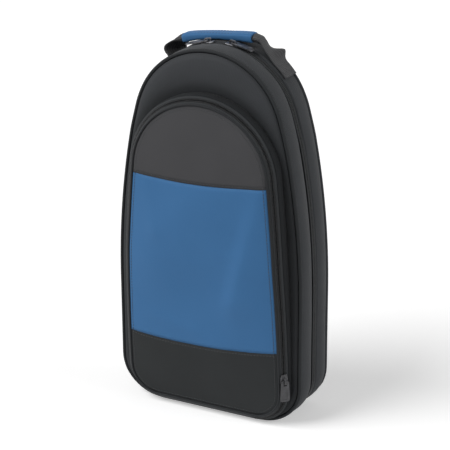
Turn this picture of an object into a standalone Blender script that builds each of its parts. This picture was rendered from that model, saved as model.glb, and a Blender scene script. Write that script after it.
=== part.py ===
"""A zipped, semi-rigid flute case with a domed front pocket, a fitted block for the flute and a padded carrying handle.

X runs to the right, Y runs from the pocket to the back panel and Z runs up. The origin is on the flat of the rear wall
that the case stands on. Sizes are in metres.
"""

import math

import bmesh
import bpy
from mathutils import Matrix, Vector

# Outline of the side walls, seen from the front
CASE_HEIGHT = 0.484
CASE_HALF_WIDTH = 0.129
CASE_STRAIGHT_TOP = 0.166
CASE_TOP_RADIUS = 0.104
CASE_CORNER_RADIUS = 0.054

# Depths, from the back panel to the pocket
REAR_WALL_DEPTH = 0.0335
LID_WALL_DEPTH = 0.034
ZIP_HALF_WIDTH = 0.0068
WALL_THICKNESS = 0.005
WALL_EDGE_DRAW = 0.0022
PANEL_THICKNESS = 0.0035
PANEL_ROUNDING = 0.0012
PIPING_RADIUS = 0.0018
LINING_THICKNESS = 0.0015
SEAM_GAP = 0.0003

# Main zip, its end tabs and the cloth hinge
TAPE_THICKNESS = 0.0012
COIL_RADIUS = 0.0009
COIL_GAP = 0.0012
END_TAB_LENGTH = 0.012
END_TAB_THICKNESS = 0.0016
HINGE_THICKNESS = 0.0014
HINGE_DROP = 0.0003

# Fitted block with its recesses, and the lid's pad
BLOCK_CLEARANCE = 0.0045
BLOCK_TOP_CLEARANCE = 0.004
CHANNEL_DEPTH = 0.024
BODY_JOINT_LENGTH = 0.360
BODY_JOINT_WIDTH = 0.036
HEAD_JOINT_LENGTH = 0.235
HEAD_JOINT_WIDTH = 0.030
FOOT_JOINT_LENGTH = 0.145
FOOT_JOINT_WIDTH = 0.036
ACCESSORY_LENGTH = 0.200
ACCESSORY_WIDTH = 0.046
RECESS_GAP = 0.014
RECESS_LIFT = 0.024
PAD_THICKNESS = 0.024
PAD_CROWN = 0.004

# Pocket on the lid
POCKET_HEIGHT = 0.408
POCKET_HALF_WIDTH = 0.1075
POCKET_ARC_BASE = 0.055
POCKET_TOP_RADIUS = 0.094
POCKET_CORNER_RADIUS = 0.038
POCKET_BASE = 0.0115
POCKET_DEPTH = 0.024
POCKET_FOOT_DEPTH = 0.0115
POCKET_TAPER_TOP = 0.215
POCKET_BAND = 0.0095
POCKET_CLOTH = 0.0016
FLAP_CROWN = 0.009
FLAP_THICKNESS = 0.0022
FLAP_PIPING_RADIUS = 0.0012
BLUE_LOW = 0.104
BLUE_HIGH = 0.322

# The pocket face's loops, as shares of its outline and of FLAP_CROWN
FACE_SHARES = ((1.0, 0.0), (0.94, 0.45), (0.82, 0.8), (0.55, 1.0))

# Sliders and pulls
SLIDER_LENGTH = 0.0165
SLIDER_WIDTH = 0.0105
SLIDER_LOW_WIDTH = 0.008
SLIDER_TOP_PLATE = 0.0016
SLIDER_LOW_PLATE = 0.0010
SLIDER_NECK = 0.0005
SLIDER_END_SHARE = 0.35
SLIDER_FLAT_SHARE = 0.8
BRIDGE_WIDTH = 0.0024
BRIDGE_LENGTH = 0.0085
BRIDGE_BAR = 0.0012
BRIDGE_OPENING = 0.0034
BRIDGE_ROOT = 0.0008
PIVOT_LIFT = 0.0018
PULL_LENGTH = 0.030
PULL_WIDTH = 0.0105
PULL_END_WIDTH = 0.0125
PULL_THICKNESS = 0.0016
PULL_SLOT_LENGTH = 0.006
PULL_SLOT_WIDTH = 0.0040
PULL_BAR = 0.0014
PULL_BEVEL = 0.0025
PULL_RECESS_LENGTH = 0.011
PULL_RECESS_WIDTH = 0.0060
PULL_RECESS_DEPTH = 0.0004
PULL_RECESS_MARGIN = 0.003
PULL_TILT = 4.0
LEFT_SLIDER_ANGLE = -10.9
RIGHT_SLIDER_ANGLE = 7.8
POCKET_SLIDER_HEIGHT = 0.070

# Carrying handle
WEBBING_WIDTH = 0.030
WEBBING_NECK_WIDTH = 0.0165
WEBBING_THICKNESS = 0.0020
GRIP_THICKNESS = 0.0080
GRIP_WIDTH = 0.021
GRIP_BEVEL = 0.0025
GRIP_CLEARANCE = 0.0004
HANDLE_RISE = 0.016
HANDLE_LEAN = 0.003

# The handle's line: degrees round the top arc, shares of HANDLE_RISE above the wall, and how far the webbing is
# drawn in to its neck and leans forward
LEFT_FOOT_SHARES = ((-60.0, 0.0, 0.0), (-55.0, 0.0, 0.0), (-50.5, 0.02, 0.0))
LEFT_LEG_SHARES = (
    (-48.2, 0.10, 0.05), (-47.2, 0.28, 0.12), (-47.0, 0.50, 0.22), (-46.3, 0.74, 0.4), (-44.3, 0.89, 0.6),
    (-41.0, 0.91, 0.85), (-38.0, 0.83, 1.0), (-36.0, 0.765, 1.0),
)
GRIP_SHARES = (
    (-34.4, 0.71, 1.0), (-28.0, 0.49, 1.0), (-21.2, 0.324, 1.0), (-8.2, 0.2, 1.0), (0.0, 0.215, 1.0),
    (9.5, 0.36, 1.0), (17.3, 0.57, 1.0),
)
RIGHT_LEG_SHARES = (
    (19.6, 0.64, 1.0), (21.6, 0.67, 1.0), (23.6, 0.6, 0.95), (25.6, 0.48, 0.8), (29.4, 0.29, 0.5),
    (34.0, 0.127, 0.2), (38.3, 0.027, 0.0), (41.5, 0.0, 0.0),
)
RIGHT_FOOT_SHARES = ((46.0, 0.0, 0.0), (52.0, 0.0, 0.0))

# How finely round stretches are drawn
CORNER_STEPS = 6
SIDE_STEPS = 6
TOP_STEPS = 16
PIPE_SIDES = 6
PATH_STEPS = 2
SLIDER_STEPS = 4
SHARP_DEGREES = 35
OVERRUN = 0.010

# Places that follow from the sizes above
REAR_FACE_Y = REAR_WALL_DEPTH / 2
PARTING_Y = -REAR_WALL_DEPTH / 2 - ZIP_HALF_WIDTH
LID_SEAM_Y = PARTING_Y - ZIP_HALF_WIDTH
LID_FACE_Y = LID_SEAM_Y - LID_WALL_DEPTH
TOP_CENTRE_Z = CASE_HEIGHT - CASE_TOP_RADIUS
TAPE_INSET = WALL_EDGE_DRAW + TAPE_THICKNESS / 2
INNER_INSET = WALL_THICKNESS + SEAM_GAP
PIPE_INSET = WALL_THICKNESS - SEAM_GAP - PIPING_RADIUS
TAPE_FREE = COIL_GAP / 2 + 2 * COIL_RADIUS + SEAM_GAP
COIL_OFFSET = COIL_GAP / 2 + COIL_RADIUS
SLIDER_TOP = COIL_RADIUS + SEAM_GAP + SLIDER_TOP_PLATE
PIVOT_HEIGHT = SLIDER_TOP + PIVOT_LIFT
BAND_LENGTH = math.sqrt(2) * POCKET_BAND
TAPER = (POCKET_DEPTH - POCKET_FOOT_DEPTH) / POCKET_TAPER_TOP

CASE = (CASE_HEIGHT, CASE_HALF_WIDTH, CASE_STRAIGHT_TOP, CASE_TOP_RADIUS, CASE_CORNER_RADIUS)
POCKET = (
    POCKET_HEIGHT, POCKET_HALF_WIDTH, POCKET_ARC_BASE - POCKET_BASE, POCKET_TOP_RADIUS, POCKET_CORNER_RADIUS,
)

BLACK_CLOTH = ("black_cloth", (0.035, 0.037, 0.041, 1.0), 0.85, 0.0)
GREY_CLOTH = ("grey_cloth", (0.062, 0.062, 0.065, 1.0), 0.8, 0.0)
BLUE_CLOTH = ("blue_cloth", (0.055, 0.145, 0.295, 1.0), 0.7, 0.0)
WEBBING = ("black_webbing", (0.02, 0.02, 0.022, 1.0), 0.8, 0.0)
PIPING = ("black_piping", (0.014, 0.014, 0.016, 1.0), 0.6, 0.0)
ZIP_TAPE = ("zip_tape", (0.03, 0.03, 0.033, 1.0), 0.75, 0.0)
ZIP_COIL = ("zip_coil", (0.012, 0.012, 0.013, 1.0), 0.4, 0.0)
SLIDER_METAL = ("slider_metal", (0.09, 0.09, 0.095, 1.0), 0.35, 0.9)
PLUSH = ("plush_lining", (0.02, 0.02, 0.024, 1.0), 0.95, 0.0)


def clear_scene():
    for thing in list(bpy.data.objects):
        bpy.data.objects.remove(thing)


def material_of(look):
    name, colour, roughness, metallic = look
    made = bpy.data.materials.get(name) or bpy.data.materials.new(name)
    made.use_nodes = True
    shader = made.node_tree.nodes["Principled BSDF"]
    shader.inputs["Base Color"].default_value = colour
    shader.inputs["Roughness"].default_value = roughness
    shader.inputs["Metallic"].default_value = metallic
    made.diffuse_color = colour
    return made


def object_from(name, shape, look, parent=None):
    """Makes an object from a bmesh whose points are in the case's own frame, under a parent empty if one is given."""
    bmesh.ops.recalc_face_normals(shape, faces=shape.faces)
    mesh = bpy.data.meshes.new(name)
    shape.to_mesh(mesh)
    shape.free()
    mesh.shade_smooth()
    mesh.set_sharp_from_angle(angle=math.radians(SHARP_DEGREES))
    if look:
        mesh.materials.append(material_of(look))
    made = bpy.data.objects.new(name, mesh)
    bpy.context.scene.collection.objects.link(made)
    if parent:
        made.parent = parent
        made.matrix_parent_inverse = parent.matrix_basis.inverted()
    return made


def empty_at(name, place, parent=None):
    made = bpy.data.objects.new(name, None)
    made.location = place
    bpy.context.scene.collection.objects.link(made)
    if parent:
        made.parent = parent
        made.matrix_parent_inverse = parent.matrix_basis.inverted()
    return made


def arc(centre, radius, start, end, steps, first=False):
    """Points of an arc in X and Z, with angles in radians from +X. The first point is left out unless asked for."""
    low = 0 if first else 1
    return [
        (centre[0] + radius * math.cos(a), centre[1] + radius * math.sin(a))
        for a in (start + (end - start) * n / steps for n in range(low, steps + 1))
    ]


def outline(sizes, inset=0.0, lift=0.0):
    """Open line round a domed outline, from the right end of its flat base over the top to the left end.

    Each corner is a quarter circle, each side is straight and then an arc that meets the top arc smoothly. An inset
    moves the line inwards all round, and lift raises it.
    """
    height, half, straight_top, top_radius, corner = sizes
    rise = height - top_radius - straight_top
    side_radius = (half**2 + rise**2 - top_radius**2) / (2 * (half - top_radius))
    side_centre = half - side_radius
    join = math.atan2(rise, -side_centre)
    right = arc((half - corner, corner), corner - inset, -math.pi / 2, 0.0, CORNER_STEPS, first=True)
    right.append((half - inset, straight_top))
    right += arc((side_centre, straight_top), side_radius - inset, 0.0, join, SIDE_STEPS)
    top = arc((0.0, height - top_radius), top_radius - inset, join, math.pi - join, TOP_STEPS)
    left = [(-x, z) for x, z in reversed(right[:-1])]
    return [(x, z + lift) for x, z in right + top + left]


def loft(loops, closed_line=True, closed_profile=False):
    """A solid skinned over loops of points that match one to one.

    With closed_profile the last loop joins the first, as on a ring. Otherwise the first and last loops are capped.
    An open line gives a strip whose two ends are capped.
    """
    shape = bmesh.new()
    rows = [[shape.verts.new(p) for p in loop] for loop in loops]
    count = len(rows[0])
    pairs = list(zip(rows, rows[1:]))
    if closed_profile:
        pairs.append((rows[-1], rows[0]))
    along = range(count) if closed_line else range(count - 1)
    for low, high in pairs:
        for n in along:
            m = (n + 1) % count
            shape.faces.new((low[n], low[m], high[m], high[n]))
    if not closed_profile:
        shape.faces.new(rows[0])
        shape.faces.new(rows[-1])
    elif not closed_line:
        shape.faces.new([row[0] for row in rows])
        shape.faces.new([row[-1] for row in rows])
    return shape


def band_loops(sizes, profile, lift=0.0):
    """One loop of points for each inset and depth of a profile."""
    return [[(x, depth, z) for x, z in outline(sizes, inset, lift)] for inset, depth in profile]


def box(low, high):
    shape = bmesh.new()
    bmesh.ops.create_cube(shape, size=1.0)
    size = [h - l for l, h in zip(low, high)]
    middle = [(h + l) / 2 for l, h in zip(low, high)]
    bmesh.ops.scale(shape, vec=size, verts=shape.verts)
    bmesh.ops.translate(shape, vec=middle, verts=shape.verts)
    return shape


def boolean(target, tool, operation):
    tool.hide_render = True
    tool.display_type = "WIRE"
    step = target.modifiers.new(tool.name, "BOOLEAN")
    step.operation = operation
    step.object = tool
    step.solver = "EXACT"
    return target


def wall_profile(near, far):
    """Cross-section of a padded side wall: its outer side is flat in the middle and draws in to both seams."""
    depth = far - near
    quarter, eighth = depth / 4, depth / 8
    return (
        (WALL_EDGE_DRAW, near), (WALL_EDGE_DRAW / 4, near + eighth), (0.0, near + quarter),
        (0.0, far - quarter), (WALL_EDGE_DRAW / 4, far - eighth), (WALL_EDGE_DRAW, far),
        (WALL_THICKNESS, far), (WALL_THICKNESS, near),
    )


def pipe_profile(inset, depth, radius):
    turns = [2 * math.pi * n / PIPE_SIDES for n in range(PIPE_SIDES)]
    return [(inset + radius * math.cos(t), depth + radius * math.sin(t)) for t in turns]


def panel_profile(back, front):
    """A plate with a small rounding at the edge of its front. Front may lie either way from back."""
    way = PANEL_ROUNDING if back > front else -PANEL_ROUNDING
    return ((INNER_INSET, back), (INNER_INSET, front + way), (INNER_INSET + PANEL_ROUNDING, front))


def rear_half(root):
    """The rear half of the case: back panel, padded wall, piping and lining. Returns the depth of the lining's face."""
    panel_front = REAR_FACE_Y - PANEL_THICKNESS
    panel = panel_profile(panel_front, REAR_FACE_Y)
    object_from("back_panel", loft(band_loops(CASE, panel)), BLACK_CLOTH, root)
    pipe_y = REAR_FACE_Y - PIPING_RADIUS
    wall = wall_profile(PARTING_Y + ZIP_HALF_WIDTH, pipe_y - PIPING_RADIUS - SEAM_GAP)
    object_from("rear_wall", loft(band_loops(CASE, wall), closed_profile=True), BLACK_CLOTH, root)
    pipe = pipe_profile(PIPE_INSET, pipe_y, PIPING_RADIUS)
    object_from("rear_piping", loft(band_loops(CASE, pipe), closed_profile=True), PIPING, root)
    lining_far = panel_front - SEAM_GAP
    lining = [(INNER_INSET, lining_far), (INNER_INSET, lining_far - LINING_THICKNESS)]
    object_from("rear_lining", loft(band_loops(CASE, lining)), PLUSH, root)
    return lining_far - LINING_THICKNESS


def recess(name, middle_x, low_z, width, length, front):
    """A cutter for one recess of the block: a long slot with round ends."""
    radius = width / 2
    ring = arc((middle_x, low_z + radius), radius, math.pi, 2 * math.pi, CORNER_STEPS, first=True)
    ring += arc((middle_x, low_z + length - radius), radius, 0.0, math.pi, CORNER_STEPS, first=True)
    loops = [[(x, y, z) for x, z in ring] for y in (front - OVERRUN, front + CHANNEL_DEPTH)]
    return object_from(name, loft(loops), None)


def fitted_block(root, back):
    """The plush block that holds the flute's three joints, with a bay for small things."""
    front = PARTING_Y + BLOCK_TOP_CLEARANCE
    edge = INNER_INSET + BLOCK_CLEARANCE
    rear = back - SEAM_GAP
    block = object_from("fitted_block", loft(band_loops(CASE, [(edge, rear), (edge, front)])), PLUSH, root)
    body_x = -(HEAD_JOINT_WIDTH + BODY_JOINT_WIDTH) / 2 - RECESS_GAP
    bay_x = (HEAD_JOINT_WIDTH + ACCESSORY_WIDTH) / 2 + RECESS_GAP
    foot_z = RECESS_LIFT + HEAD_JOINT_LENGTH + RECESS_GAP
    cuts = (
        ("body_joint_cut", body_x, RECESS_LIFT + RECESS_GAP, BODY_JOINT_WIDTH, BODY_JOINT_LENGTH),
        ("head_joint_cut", 0.0, RECESS_LIFT, HEAD_JOINT_WIDTH, HEAD_JOINT_LENGTH),
        ("foot_joint_cut", 0.0, foot_z, FOOT_JOINT_WIDTH, FOOT_JOINT_LENGTH),
        ("accessory_cut", bay_x, CASE_CORNER_RADIUS, ACCESSORY_WIDTH, ACCESSORY_LENGTH),
    )
    for name, x, z, width, length in cuts:
        boolean(block, recess(name, x, z, width, length, front), "DIFFERENCE")


def lid_half(lid):
    """The front half: panel, padded wall, piping and the pad that presses on the flute."""
    back = LID_FACE_Y + PANEL_THICKNESS
    object_from("lid_panel", loft(band_loops(CASE, panel_profile(back, LID_FACE_Y))), BLACK_CLOTH, lid)
    pipe_y = LID_FACE_Y + PIPING_RADIUS
    wall = wall_profile(pipe_y + PIPING_RADIUS + SEAM_GAP, LID_SEAM_Y)
    object_from("lid_wall", loft(band_loops(CASE, wall), closed_profile=True), BLACK_CLOTH, lid)
    pipe = pipe_profile(PIPE_INSET, pipe_y, PIPING_RADIUS)
    object_from("lid_piping", loft(band_loops(CASE, pipe), closed_profile=True), PIPING, lid)
    front = back + SEAM_GAP
    pad = [
        (INNER_INSET, front),
        (INNER_INSET, front + PAD_THICKNESS - 3 * PAD_CROWN),
        (INNER_INSET + PAD_CROWN, front + PAD_THICKNESS - PAD_CROWN),
        (INNER_INSET + 4 * PAD_CROWN, front + PAD_THICKNESS),
    ]
    object_from("lid_pad", loft(band_loops(CASE, pad)), PLUSH, lid)


def zip_half(side, name, parent):
    """One half of the main zip: a tape and the coil on its free edge. Side is 1 behind the parting and -1 before it."""
    seam = PARTING_Y + side * (ZIP_HALF_WIDTH - SEAM_GAP)
    free = PARTING_Y + side * TAPE_FREE
    top = TAPE_INSET - TAPE_THICKNESS / 2
    low = TAPE_INSET + TAPE_THICKNESS / 2
    tape = [(top, seam), (top, free), (low, free), (low, seam)]
    strip = loft(band_loops(CASE, tape), closed_line=False, closed_profile=True)
    object_from(f"{name}_zip_tape", strip, ZIP_TAPE, parent)
    coil = pipe_profile(TAPE_INSET, PARTING_Y + side * COIL_OFFSET, COIL_RADIUS)
    strip = loft(band_loops(CASE, coil), closed_line=False, closed_profile=True)
    object_from(f"{name}_zip_coil", strip, ZIP_COIL, parent)


def base_hinge(root):
    """The strip of cloth along the flat base that joins the halves, and the tabs sewn over the zip's two ends."""
    flat = CASE_HALF_WIDTH - CASE_CORNER_RADIUS
    low = WALL_EDGE_DRAW
    near = LID_SEAM_Y + SEAM_GAP
    far = PARTING_Y + ZIP_HALF_WIDTH - SEAM_GAP
    strip = box((-flat + SEAM_GAP, near, low), (flat - SEAM_GAP, far, low + HINGE_THICKNESS))
    object_from("hinge_cloth", strip, BLACK_CLOTH, root)
    tab_low = low - END_TAB_THICKNESS - SEAM_GAP
    for side, name in ((-1, "left"), (1, "right")):
        ends = sorted((side * (flat - END_TAB_LENGTH / 2), side * (flat + END_TAB_LENGTH / 2)))
        tab = box((ends[0], PARTING_Y + SEAM_GAP, tab_low), (ends[1], far, low - SEAM_GAP))
        object_from(f"zip_end_tab_{name}", tab, WEBBING, root)


def pocket_front(z):
    """Depth of the pocket's face at a height. It tapers in a straight line down to its foot."""
    return LID_FACE_Y - POCKET_FOOT_DEPTH - TAPER * min(z, POCKET_TAPER_TOP)


def pocket_line(inset, depth):
    """Line round the pocket at an inset from its face's edge and a depth behind the plane of its face."""
    return [(x, pocket_front(z) + depth, z) for x, z in outline(POCKET, inset, POCKET_BASE)]


def band_line(along, inward):
    """Line in the sloped band that carries the zip: a distance along the slope from the face, and one inwards."""
    diagonal = math.sqrt(0.5)
    return pocket_line((inward - along) * diagonal, (inward + along) * diagonal)


def pocket_side(lid):
    """The pocket's side wall, which stands on the lid's panel, and the strip that the flap hinges on."""
    inner = POCKET_CLOTH - POCKET_BAND
    loops = [pocket_line(-POCKET_BAND, POCKET_BAND), pocket_line(inner, POCKET_BAND)]
    loops += [[(x, LID_FACE_Y - SEAM_GAP, z) for x, _, z in loop] for loop in reversed(loops)]
    object_from("pocket_side", loft(loops, closed_profile=True), BLACK_CLOTH, lid)
    start = FLAP_PIPING_RADIUS + SEAM_GAP
    end = BAND_LENGTH - SEAM_GAP
    loops = []
    for along, inward in ((start, -POCKET_CLOTH / 2), (end, -POCKET_CLOTH / 2), (end, 0.0), (start, 0.0)):
        line = band_line(along, inward)
        loops.append([line[-1], line[0]])
    strip = loft(loops, closed_line=False, closed_profile=True)
    object_from("pocket_hinge_cloth", strip, BLACK_CLOTH, lid)


def pocket_zip(lid, flap):
    """The two tapes and coils in the band. The flap carries the inner ones and the pocket's side the outer ones."""
    middle, half = BAND_LENGTH / 2, TAPE_THICKNESS / 2
    spans = (
        (flap, "pocket_flap", FLAP_PIPING_RADIUS + SEAM_GAP, middle - TAPE_FREE, middle - COIL_OFFSET),
        (lid, "pocket_side", middle + TAPE_FREE, BAND_LENGTH - SEAM_GAP - half, middle + COIL_OFFSET),
    )
    for parent, name, start, end, coil in spans:
        loops = [band_line(*place) for place in ((start, -half), (end, -half), (end, half), (start, half))]
        tape = loft(loops, closed_line=False, closed_profile=True)
        object_from(f"{name}_zip_tape", tape, ZIP_TAPE, parent)
        loops = [band_line(along, inward) for along, inward in pipe_profile(coil, 0.0, COIL_RADIUS)]
        object_from(f"{name}_zip_coil", loft(loops, closed_line=False, closed_profile=True), ZIP_COIL, parent)


def face_part(name, low, high, look, flap):
    """One section of the pocket's crowned face, between two heights. None leaves that side whole."""
    edge = outline(POCKET, FLAP_PIPING_RADIUS + SEAM_GAP, POCKET_BASE)
    middle = POCKET_BASE + POCKET_HEIGHT / 2
    loops = [[(x, pocket_front(z) + FLAP_THICKNESS, z) for x, z in edge]]
    for scale, out in FACE_SHARES:
        loop = [(x * scale, middle + (z - middle) * scale) for x, z in edge]
        loops.append([(x, pocket_front(z) - FLAP_CROWN * out, z) for x, z in loop])
    shape = loft(loops)
    for height, way in ((low, -1), (high, 1)):
        if height is None:
            continue
        everything = shape.verts[:] + shape.edges[:] + shape.faces[:]
        at = (0.0, 0.0, height - way * SEAM_GAP / 2)
        bmesh.ops.bisect_plane(shape, geom=everything, plane_co=at, plane_no=(0, 0, way), clear_outer=True)
        rim = [e for e in shape.edges if e.is_boundary]
        bmesh.ops.holes_fill(shape, edges=rim)
    object_from(name, shape, look, flap)


def pocket_face(flap):
    face_part("pocket_face_bottom", None, BLUE_LOW, BLACK_CLOTH, flap)
    face_part("pocket_face_middle", BLUE_LOW, BLUE_HIGH, BLUE_CLOTH, flap)
    face_part("pocket_face_top", BLUE_HIGH, None, GREY_CLOTH, flap)
    loops = [pocket_line(inset, depth) for inset, depth in pipe_profile(0.0, 0.0, FLAP_PIPING_RADIUS)]
    object_from("pocket_piping", loft(loops, closed_profile=True), PIPING, flap)


def slider_body(name, place, parent, halves):
    """A slider: a top plate, a thin neck between the coils, a lower plate and a bridge for its pull.

    Place turns distances along the zip, across it and out of it into a point. Halves are the ways across the zip
    that the lower plate reaches.
    """
    top_half, low_half, neck = SLIDER_WIDTH / 2, SLIDER_LOW_WIDTH / 2, SLIDER_NECK / 2
    under = COIL_RADIUS + SEAM_GAP
    left = low_half if -1 in halves else neck
    right = low_half if 1 in halves else neck
    loops = []
    for n in range(SLIDER_STEPS + 1):
        share = n / SLIDER_STEPS
        along = SLIDER_LENGTH * (share - 0.5)
        wide = top_half * (1.0 - SLIDER_END_SHARE * abs(2 * share - 1) ** 3)
        flat = wide * SLIDER_FLAT_SHARE
        shoulder = SLIDER_TOP - SLIDER_TOP_PLATE / 2
        floor = -under - SLIDER_LOW_PLATE
        section = (
            (-wide, shoulder), (-flat, SLIDER_TOP), (flat, SLIDER_TOP), (wide, shoulder), (wide, under),
            (neck, under), (neck, -under), (right, -under), (right, floor), (-left, floor), (-left, -under),
            (-neck, -under), (-neck, under), (-wide, under),
        )
        unlike = [p for k, p in enumerate(section) if p != section[k - 1]]
        loops.append([place(along, across, out) for across, out in unlike])
    body = object_from(name, loft(loops), SLIDER_METAL, parent)
    half, opening = BRIDGE_LENGTH / 2, BRIDGE_LENGTH / 2 - BRIDGE_BAR
    floor = SLIDER_TOP - BRIDGE_ROOT
    inner_top = SLIDER_TOP + BRIDGE_OPENING
    top = inner_top + BRIDGE_BAR
    arch = (
        (-half, floor), (-half, top - BRIDGE_BAR), (-opening, top), (opening, top), (half, top - BRIDGE_BAR),
        (half, floor), (opening, floor), (opening, inner_top - BRIDGE_BAR / 2), (opening - BRIDGE_BAR / 2, inner_top),
        (BRIDGE_BAR / 2 - opening, inner_top), (-opening, inner_top - BRIDGE_BAR / 2), (-opening, floor),
    )
    loops = [[place(along, across, out) for along, out in arch] for across in (-BRIDGE_WIDTH / 2, BRIDGE_WIDTH / 2)]
    boolean(body, object_from(f"{name}_bridge", loft(loops), None), "UNION")


def pull_tab(name, place, facing, parent):
    """A pull on its own empty, whose Y axis is the pivot. Facing is the way along the zip that it lies."""
    origin = place(0.0, 0.0, PIVOT_HEIGHT)
    along = (place(facing * PULL_BAR, 0.0, PIVOT_HEIGHT) - origin).normalized()
    out = (place(0.0, 0.0, SLIDER_TOP + 2 * PIVOT_LIFT) - origin).normalized()
    across = out.cross(along).normalized()
    turn = Matrix((along, across, out)).transposed().to_4x4()
    pivot = empty_at(f"{name}_pivot", origin, parent)
    pivot.rotation_mode = "QUATERNION"
    pivot.rotation_quaternion = turn.to_quaternion()
    lie = Matrix.Translation(origin) @ turn @ Matrix.Rotation(math.radians(PULL_TILT), 4, "Y")

    def shape_at(points, low, high):
        loops = [[lie @ Vector((x, y, z)) for x, y in points] for z in (low, high)]
        return loft(loops)

    start, end = -PULL_BAR / 2, PULL_LENGTH
    half, end_half = PULL_WIDTH / 2, PULL_END_WIDTH / 2
    edge = (
        (start, -half / 2), (start + PULL_BEVEL, -half), (end - 2 * PULL_BEVEL, -end_half),
        (end - PULL_BEVEL / 2, -end_half), (end, PULL_BEVEL - end_half), (end, end_half - PULL_BEVEL),
        (end - PULL_BEVEL / 2, end_half), (end - 2 * PULL_BEVEL, end_half), (start + PULL_BEVEL, half),
        (start, half / 2),
    )
    tab = object_from(name, shape_at(edge, -PULL_THICKNESS / 2, PULL_THICKNESS / 2), SLIDER_METAL, pivot)
    slot = PULL_SLOT_WIDTH / 2
    low, high = PULL_BAR / 2, PULL_BAR / 2 + PULL_SLOT_LENGTH
    hole = ((low, -slot), (high, -slot), (high, slot), (low, slot))
    boolean(tab, object_from(f"{name}_slot", shape_at(hole, -PULL_THICKNESS, PULL_THICKNESS), None), "DIFFERENCE")
    wide = PULL_RECESS_WIDTH / 2
    low, high = end - PULL_RECESS_MARGIN - PULL_RECESS_LENGTH, end - PULL_RECESS_MARGIN
    mark = ((low, -wide), (high, -wide), (high, wide), (low, wide))
    floor = PULL_THICKNESS / 2 - PULL_RECESS_DEPTH
    boolean(tab, object_from(f"{name}_recess", shape_at(mark, floor, PULL_THICKNESS), None), "DIFFERENCE")


def main_sliders(root):
    """The two sliders of the main zip, each turning about the centre of the case's top arc."""
    radius = CASE_TOP_RADIUS - TAPE_INSET
    centre = Vector((0.0, PARTING_Y, TOP_CENTRE_Z))
    for name, degrees, facing in (("left", LEFT_SLIDER_ANGLE, -1), ("right", RIGHT_SLIDER_ANGLE, 1)):

        def place(along, across, out, degrees=degrees):
            turn = math.radians(degrees) + along / radius
            return centre + Vector(((radius + out) * math.sin(turn), across, (radius + out) * math.cos(turn)))

        axis = empty_at(f"main_slider_{name}_axis", centre, root)
        slider_body(f"main_slider_{name}", place, axis, (-1, 1))
        pull_tab(f"main_pull_{name}", place, facing, axis)


def pocket_slider(flap):
    """The pocket's slider, parked low on the right. It turns about the far centre of the arc that the side follows."""
    half, rise = POCKET_HALF_WIDTH, POCKET_HEIGHT - POCKET_TOP_RADIUS - POCKET_ARC_BASE + POCKET_BASE
    side_radius = (half**2 + rise**2 - POCKET_TOP_RADIUS**2) / (2 * (half - POCKET_TOP_RADIUS))
    far = half - side_radius
    up_share = (POCKET_SLIDER_HEIGHT - POCKET_ARC_BASE) / side_radius
    x = far + side_radius * math.cos(up_share) + POCKET_BAND / 2
    y = pocket_front(POCKET_SLIDER_HEIGHT) + POCKET_BAND / 2
    origin = Vector((x, y, POCKET_SLIDER_HEIGHT))
    up = Vector((-up_share, -TAPER, 1.0)).normalized()
    out = Vector((1.0, -1.0, 0.0))
    out = (out - up * out.dot(up)).normalized()
    across = up.cross(out).normalized()

    def place(along, sideways, outwards):
        return origin + up * along + across * sideways + out * outwards

    axis = empty_at("pocket_slider_axis", (far, pocket_front(POCKET_ARC_BASE), POCKET_ARC_BASE), flap)
    axis.rotation_euler = (math.atan(TAPER), 0.0, 0.0)
    flap_side = 1 if across.x < 0 else -1
    slider_body("pocket_slider", place, axis, (flap_side,))
    pull_tab("pocket_pull", place, -1, axis)


def smooth_path(points):
    """Points of a smooth line through the given ones."""
    padded = [points[0]] + list(points) + [points[-1]]
    line = []
    for a, b, c, d in zip(padded, padded[1:], padded[2:], padded[3:]):
        for n in range(PATH_STEPS):
            t = n / PATH_STEPS
            line.append(0.5 * (2 * b + (c - a) * t + (2 * a - 5 * b + 4 * c - d) * t**2 + (3 * b - a - 3 * c + d) * t**3))
    return line + [padded[-2]]


def handle_points(shares):
    """Points of the handle's line, each with its neck share as a fourth value."""
    lift = CASE_TOP_RADIUS + SEAM_GAP + WEBBING_THICKNESS / 2
    places = []
    for degrees, share, neck in shares:
        reach = lift + HANDLE_RISE * share
        turn = math.radians(degrees)
        x, z = reach * math.sin(turn), TOP_CENTRE_Z + reach * math.cos(turn)
        places.append(Vector((x, -HANDLE_LEAN * neck, z, neck)))
    return places


def along_path(line, section_at):
    """One loop of a section for each point of a line in X and Z. Section_at takes the point's neck share."""
    loops = []
    for n, point in enumerate(line):
        way = line[min(n + 1, len(line) - 1)] - line[max(n - 1, 0)]
        out = Vector((-way.z, 0.0, way.x)).normalized()
        place = point.to_3d()
        loops.append([place + Vector((0.0, across, 0.0)) + out * height for across, height in section_at(point.w)])
    return loops


def eight_sided(half_width, half_height, bevel):
    w, h = half_width, half_height
    return (
        (-w, bevel - h), (bevel - w, -h), (w - bevel, -h), (w, bevel - h),
        (w, h - bevel), (w - bevel, h), (bevel - w, h), (-w, h - bevel),
    )


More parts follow.
